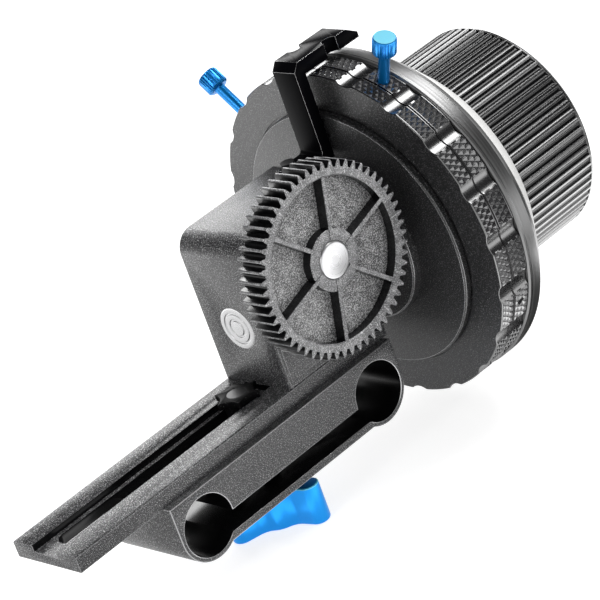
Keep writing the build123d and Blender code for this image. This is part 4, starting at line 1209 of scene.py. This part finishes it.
@dataclass
class HandWheel:
    """Hub, dial plate, marking disc, fluted knob and cap."""

    hub_edge: float = 0.2
    dial_rim: float = 4.1
    dial_chamfer: float = 0.4
    dial_edge: float = 0.18
    bevel_drop: float = 2.15
    marking_wall: float = 2.0
    marking_drop: float = 8.25
    marking_gap: float = 0.4
    marking_edge: float = 0.25
    knob_flutes: int = 72
    flute_cutter: float = 1.15
    flute_depth: float = 0.5
    flute_phase: float = 2.0
    flute_edge: float = 0.09
    floor_spans: int = 5
    plain_end: float = 0.45
    plain_start: float = 0.05
    run_out: float = 0.9
    run_out_steps: tuple[float, ...] = (0.3, 0.55, 0.75, 0.9, 1.0)
    end_chamfer: float = 1.2
    knob_wall: float = 6.3
    knob_web: float = 5.15
    knob_edge: float = 0.3
    cap_dish: float = 0.8
    cap_rim: float = 3.2
    cap_slope: float = 0.3
    cap_throat: float = 2.02
    cap_edge: float = 0.2
    gap: float = 0.02
    screw_edge: float = 0.12
    socket_radius: float = 1.45
    socket_depth: float = 1.3

    def build(self) -> None:
        """Build the wheel's pieces."""
        machined("wheel_hub_body", "wheel_hub", "hand_wheel", self.hub_edge, RING_FACE, HUB_EDGE)
        self.dial()
        self.marking()
        self.knob()
        self.cap()
        self.screw()
        dress(STEEL, "hand_shaft", "screw_gear_hand", "hand_retaining_ring", "hub_set_screw", "wheel_screws")

    def dial(self) -> None:
        """Turn the grey bevelled plate."""
        box, bore, chamfer = Box.of("dial_plate"), Box.of("hand_shaft").radius, self.dial_chamfer
        radius, width = box.radius, box.size.x
        profile = [(0, bore), (0, radius - chamfer), (chamfer, radius), (self.dial_rim, radius),
                   (width, radius - self.bevel_drop), (width, bore)]
        turned_piece("dial_plate_body", "dial_plate", "hand_wheel", GREY_PLATE, HAND_AXIS,
                     profile, self.dial_edge, segments=240)

    def marking(self) -> None:
        """Turn the white cone ring."""
        box = Box.of("marking_disc")
        large, width, back = box.radius, box.size.x, self.marking_wall
        small, bore = large - self.marking_drop, Box.of("hand_knob").radius + self.marking_gap
        wall = back * math.sqrt(2)
        profile = [(0, large - wall), (0, large), (width, small), (width, bore), (width - back, bore),
                   (width - back, small + back - wall)]
        turned_piece("marking_disc_body", "marking_disc", "hand_wheel", WHITE, HAND_AXIS,
                     profile, self.marking_edge, segments=200)

    def flute(self, radius: float) -> list[Vector]:
        """Outline of one flute from land middle to land middle, with rounded edges.

        Args:
            radius: Radius of the knob.

        Returns:
            The points, as (way across, radius).
        """
        cutter, edge, spans = self.flute_cutter, self.flute_edge, self.floor_spans
        lift = cutter - self.flute_depth
        half_width = math.sqrt(cutter ** 2 - lift ** 2)
        corner = Vector((half_width, radius))
        low, high = corner - Vector((lift, half_width)).normalized() * edge, corner + Vector((edge, 0))
        side = [low.lerp(corner, f).lerp(corner.lerp(high, f), f) for f in (0, 1 / 3, 2 / 3, 1)]
        side.append(Vector((radius * math.pi / self.knob_flutes, radius)))
        floor = []
        for k in range(-spans + 1, spans):
            across = low.x * k / spans
            floor.append(Vector((across, radius + cutter - self.flute_depth - math.sqrt(cutter ** 2 - across ** 2))))
        return [Vector((-p.x, p.y)) for p in reversed(side)] + floor + side

    def knob(self) -> None:
        """Build one flute of the knob and repeat it."""
        box, cap = Box.of("hand_knob"), Box.of("knob_cap")
        radius, start, end = box.radius, box.low.x, box.high.x
        section = [(p.y, math.radians(self.flute_phase) + p.x / radius) for p in self.flute(radius)]
        bore, cap_r, shaft_r = radius - self.knob_wall, cap.radius + self.gap, Box.of("hand_shaft").radius
        web_x, chamfer = start + self.knob_web, self.end_chamfer
        flute_end = end - chamfer - self.plain_end
        path = [(start, radius, 0.0), (flute_end - self.run_out, radius, 0.0)]
        for f in self.run_out_steps:
            path.append((flute_end - self.run_out * (1 - f), radius,
                         radius - self.flute_depth * math.sqrt(1 - f * f)))
        path += [(x, level, level) for x, level in rounded(
            [(flute_end + self.plain_start, radius), (end - chamfer, radius), (end, radius - chamfer), (end, cap_r),
             (cap.low.x, cap_r), (cap.low.x, bore), (web_x, bore), (web_x, shaft_r), (start, shaft_r)],
            self.knob_edge, steps=2)]
        frame_of = place(Lie.ALONG_X, HAND_AXIS)
        knob = mesh_object("fluted_knob", *sheet_of_rows(
            [[polar(frame_of, max(least, min(r, most)), a, x) for r, a in section] for x, most, least in path]))
        round_axis(knob, self.knob_flutes, HAND_AXIS, (1, 0, 0), KNOB_BLACK, smooth=SMOOTH_KNOB)
        floor_r, past_bore = radius - self.flute_depth / 2, bore + 1
        # faces deeper than half a flute, before the plain end, take painted shade
        refinish(knob, PAINTED_SHADE, lambda centre, normal: centre.x < flute_end
                 and past_bore < math.hypot(centre.y - HAND_AXIS.y, centre.z - HAND_AXIS.z) < floor_r)
        fit(knob, "hand_wheel", "hand_knob")

    def cap(self) -> None:
        """Turn the dished cap, with a seat for its screw."""
        box, throat, hole = Box.of("knob_cap"), self.cap_throat, Box.of("cap_screw").radius + self.gap
        radius, width = box.radius, box.size.x
        floor, rim = width - self.cap_dish, radius - self.cap_rim
        profile = [(0, throat), (0, radius), (width, radius), (width, rim), (floor, rim - self.cap_slope),
                   (floor, hole), (floor - (hole - throat), throat)]
        turned_piece("knob_end_cap", "knob_cap", "hand_wheel", KNOB_BLACK, HAND_AXIS, profile,
                     self.cap_edge, segments=160)

    def screw(self) -> None:
        """Copy the cap's screw with a hexagon socket."""
        screw = machined_copy("cap_screw_body", "cap_screw", self.screw_edge, STEEL, BLACK_STEEL)
        top = Box.of("cap_screw").high.x
        reach = (top - self.socket_depth, top + 1)
        drilled(screw, HAND_AXIS, Vector((1, 0, 0)), self.socket_radius, reach, wall=1, sides=6)
        fit(screw, "hand_wheel", "cap_screw")


@dataclass
class ThumbScrew:
    """Blue thumb screw with a straight-knurled head.

    The neck is the length and the growth of the flare under the head. The head's rows say how far they lie
    from its foot or its top, how far in from its radius, and whether they are knurled.
    """

    node: str
    ring: str
    angle: float
    tip_radius: float
    shank_radius: float = 1.45
    shank_length: float = 17.6
    head_radius: float = 3.0
    head_length: float = 4.88
    teeth: int = 28
    tooth_depth: float = 0.16
    tooth_land: float = 0.45
    tip_chamfer: float = 0.25
    neck: Point2 = (0.3, 0.12)
    foot: tuple[HeadRow, ...] = ((0, 0.75, False), (0.15, 0.45, False), (0.5, 0.05, True), (0.62, 0, True))
    crown: tuple[HeadRow, ...] = ((0.62, 0, True), (0.5, 0.05, True), (0.3, 0.12, False), (0.1, 0.2, False),
                                  (0, 0.35, False))

    def build(self) -> None:
        """Build one knurl tooth with its piece of the screw, and repeat it."""
        out = Matrix.Rotation(math.radians(self.angle - 90), 4, "X")
        centre = Vector((Box.of(self.ring).middle.x, HAND_AXIS.y, HAND_AXIS.z))
        frame_of, tip = Matrix.Translation(centre) @ out, self.tip_radius
        head, top = tip + self.shank_length, tip + self.shank_length + self.head_length
        half, land, core = math.pi / self.teeth, self.tooth_land, 0.02
        flutes = (-half, -half * land, 0.0, half * land, half)
        head_r, shank_r, chamfer, (neck, flare) = self.head_radius, self.shank_radius, self.tip_chamfer, self.neck
        rows = [(tip, core, False), (tip, shank_r - chamfer, False), (tip + chamfer, shank_r, False),
                (head - neck, shank_r, False), (head, shank_r + flare, False)]
        rows += [(head + up, head_r - drop, knurled) for up, drop, knurled in self.foot]
        rows += [(top - down, head_r - drop, knurled) for down, drop, knurled in self.crown]
        rows.append((top, core, False))
        screw = mesh_object(self.node + "_body", *sheet_of_rows(
            [[polar(frame_of, radius - (self.tooth_depth if knurled and abs(a) == half else 0.0), a, z)
              for a in flutes] for z, radius, knurled in rows]))
        axis = out.to_3x3() @ Vector((0, 0, 1))
        facing, top_edge = 0.9, top - 0.2
        mark = screw.data.attributes.new("second", "BOOLEAN", "FACE")
        for face in screw.data.polygons:
            at_top = (face.center / MM - centre).length > top_edge
            mark.data[face.index].value = face.normal.dot(axis) > facing and at_top
        round_axis(screw, self.teeth, centre, axis, BLUE, BLUE_TOP)
        fit(screw, self.node, self.node)


# ---- studio ----
@dataclass
class Studio:
    """White surroundings, soft lamps, cards, a floor and the camera."""

    camera_place: Triple = (-351.935, -536.083, 332.610)
    camera_turn: Triple = (-1.181324, 0.171638, 0.876104)
    focal_pixels: float = 3091.9
    frame_pixels: float = 600.0
    sensor: float = 36.0
    middle: Triple = (45, 14, 30)
    card_lift: float = 0.5
    card_distance: float = 450.0
    world_light: float = 0.45
    world_seen: float = 1.0
    floor_reach: float = 3000.0
    floor_shade: float = 0.55
    floor_seen: float = 0.78

    def build(self) -> None:
        """Set up the studio."""
        self.camera()
        self.world()
        self.floor()
        middle = Vector(self.middle)
        for name, toward, away, size, radiance in (
                ("overhead softbox", (0.53, -0.22, 0.81), 480, (240, 220), 9.0),
                ("back panel", (0.5, 0.78, 0.36), 560, (430, 170), 5.5),
                ("front strip", (0.3, -0.9, 0.25), 520, (60, 200), 5.0),
                ("left strip", (-0.85, -0.2, 0.5), 520, (60, 240), 5.0)):
            self.lamp(name, middle + Vector(toward) * away, middle, size, radiance)
        lever = Box.of("clamp_lever")
        level, under = lever.low.z + self.card_lift, lever.middle
        up, down = Vector((0, 0, 1)), Vector((0, 0, -1))
        for name, spot, size, radiance in (
                ("reflector behind left", (-90, 120), (220, 120), 1.5),
                ("reflector far behind left", (-110, 272), (300, 184), 4.0),
                ("reflector before clamp", (52, -78), (100, 104), 2.4),
                ("reflector before gear", (230, -332), (360, 430), 2.3),
                ("reflector below knob", (161, -33), (52, 60), 4.8),
                ("reflector before lever", (under.x - 17, under.y - 20), (18, 34), 2.1),
                ("dark card below dial", (117, -35), (28, 80), 0.0),
                ("dark card before dial", (130, -92), (60, 34), 0.0),
                ("dark card beyond knob", (270, 40), (150, 300), 0.0)):
            self.card(name, Vector((*spot, level)), up, size, radiance)
        self.card("dark ceiling", Vector((300, 0, 480)), down, (1500, 1500), 0.0)
        for name, toward, size in (("dark card front right", Vector((0.534, -0.77, 0.4)), (520, 420)),
                                   ("dark card behind left", Vector((-0.41, 0.74, 0.53)), (260, 260))):
            self.card(name, middle + toward * self.card_distance, -toward, size, 0.0)
        bpy.context.scene.view_settings.view_transform = "Standard"

    def camera(self) -> None:
        """Put the camera where the photograph was taken from."""
        data = bpy.data.cameras.new("photo camera")
        data.sensor_fit = "HORIZONTAL"
        data.sensor_width = self.sensor
        data.lens = self.focal_pixels / self.frame_pixels * self.sensor
        data.clip_start, data.clip_end = 0.01, 20
        turn = Vector(self.camera_turn)
        rows = Matrix.Rotation(turn.length, 4, turn.normalized())
        obj = linked("photo camera", data)
        obj.matrix_world = Matrix.Translation(Vector(self.camera_place) * MM) @ rows.transposed()
        bpy.context.scene.camera = obj

    @staticmethod
    def seen(wires: Wires) -> Socket:
        """1 for rays of the camera, of reflections and through glass, and 0 for light.

        Args:
            wires: Wires of the tree that asks.

        Returns:
            The output.
        """
        path = wires.add("ShaderNodeLightPath").outputs
        return wires.sum("MAXIMUM", path["Is Camera Ray"],
                         wires.sum("MAXIMUM", path["Is Glossy Ray"], path["Is Transmission Ray"]))

    def world(self) -> None:
        """White for the camera and for reflections, softer as light."""
        world = bpy.data.worlds.new("studio")
        bpy.context.scene.world = world
        world.use_nodes = True
        wires = Wires(world.node_tree)
        extra = wires.sum("MULTIPLY", self.seen(wires), self.world_seen - self.world_light)
        wires.fill(world.node_tree.nodes["Background"], Color=(1, 1, 1, 1),
                   Strength=wires.sum("ADD", extra, self.world_light))

    def floor(self) -> None:
        """Pale floor under the lever, white to the camera outside the shadow."""
        bottom, reach = Box.of("clamp_lever").low.z, self.floor_reach
        floor = mesh_object("studio_floor", [Vector((x * reach, y * reach, bottom)) for x, y in SQUARE],
                            [[0, 1, 2, 3]])
        made, wires, surface = new_material("Studio floor", Base_Color=(*grey(self.floor_shade), 1), Roughness=0.9,
                                            Emission_Color=(1, 1, 1, 1))
        wires.fill(surface, Emission_Strength=wires.sum("MULTIPLY", self.seen(wires), self.floor_seen))
        floor.data.materials.append(made)

    @staticmethod
    def card(name: str, spot: Vector, facing: Vector, size: Point2, radiance: float) -> None:
        """Stand a card that only reflections see.

        Args:
            name: Name of the card.
            spot: Its middle.
            facing: Direction that its face looks.
            size: Width and height.
            radiance: How bright it looks, where 1 is the white surroundings and 0 is black.
        """
        turn = facing.to_track_quat("Z", "Y").to_matrix()
        corners = [spot + turn @ Vector((x * size[0] / 2, y * size[1] / 2, 0)) for x, y in SQUARE]
        card = mesh_object(name.replace(" ", "_"), corners, [[0, 1, 2, 3]])
        card.data.materials.append(new_material(name, Base_Color=(0, 0, 0, 1), Specular_IOR_Level=0.0,
                                                Emission_Color=(1, 1, 1, 1), Emission_Strength=radiance)[0])
        card.visible_camera = card.visible_diffuse = card.visible_shadow = card.visible_transmission = False

    @staticmethod
    def lamp(name: str, spot: Vector, aim: Vector, size: Point2, radiance: float) -> None:
        """Hang one area lamp.

        Args:
            name: Name of the lamp.
            spot: Its place.
            aim: The point that it faces.
            size: Width and height.
            radiance: How bright its face is, where 1 is the white surroundings.
        """
        data = bpy.data.lights.new(name, "AREA")
        data.shape = "RECTANGLE"
        data.size, data.size_y = size[0] * MM, size[1] * MM
        data.energy = radiance * math.pi * data.size * data.size_y
        turn = (aim - spot).to_track_quat("-Z", "Y")
        obj = linked(name, data)
        obj.matrix_world = Matrix.Translation(spot * MM) @ turn.to_matrix().to_4x4()


def write_size() -> None:
    """Update the view layer."""
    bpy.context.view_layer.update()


def main() -> None:
    """Build the unit in order."""
    logging.basicConfig(level=logging.INFO, format="%(message)s")
    write_size()
    RodClamp().build()
    Carriage().build()
    HandWheel().build()
    DriveGear().build()
    StopRing("stop_ring_a", ((THUMB_A, THUMB_HOLE),), step_radius=35.6).build()
    StopRing("stop_ring_b", ((THUMB_B, THUMB_HOLE), (SET_SCREW, SET_HOLE)), dark_start=True).build()
    dress(BLACK_STEEL, "ring_set_screw")
    ThumbScrew("thumb_screw_a", "stop_ring_a", THUMB_A, TIP_A).build()
    ThumbScrew("thumb_screw_b", "stop_ring_b", THUMB_B, TIP_B).build()
    Studio().build()
    write_size()


if __name__ == "__main__":
    main()
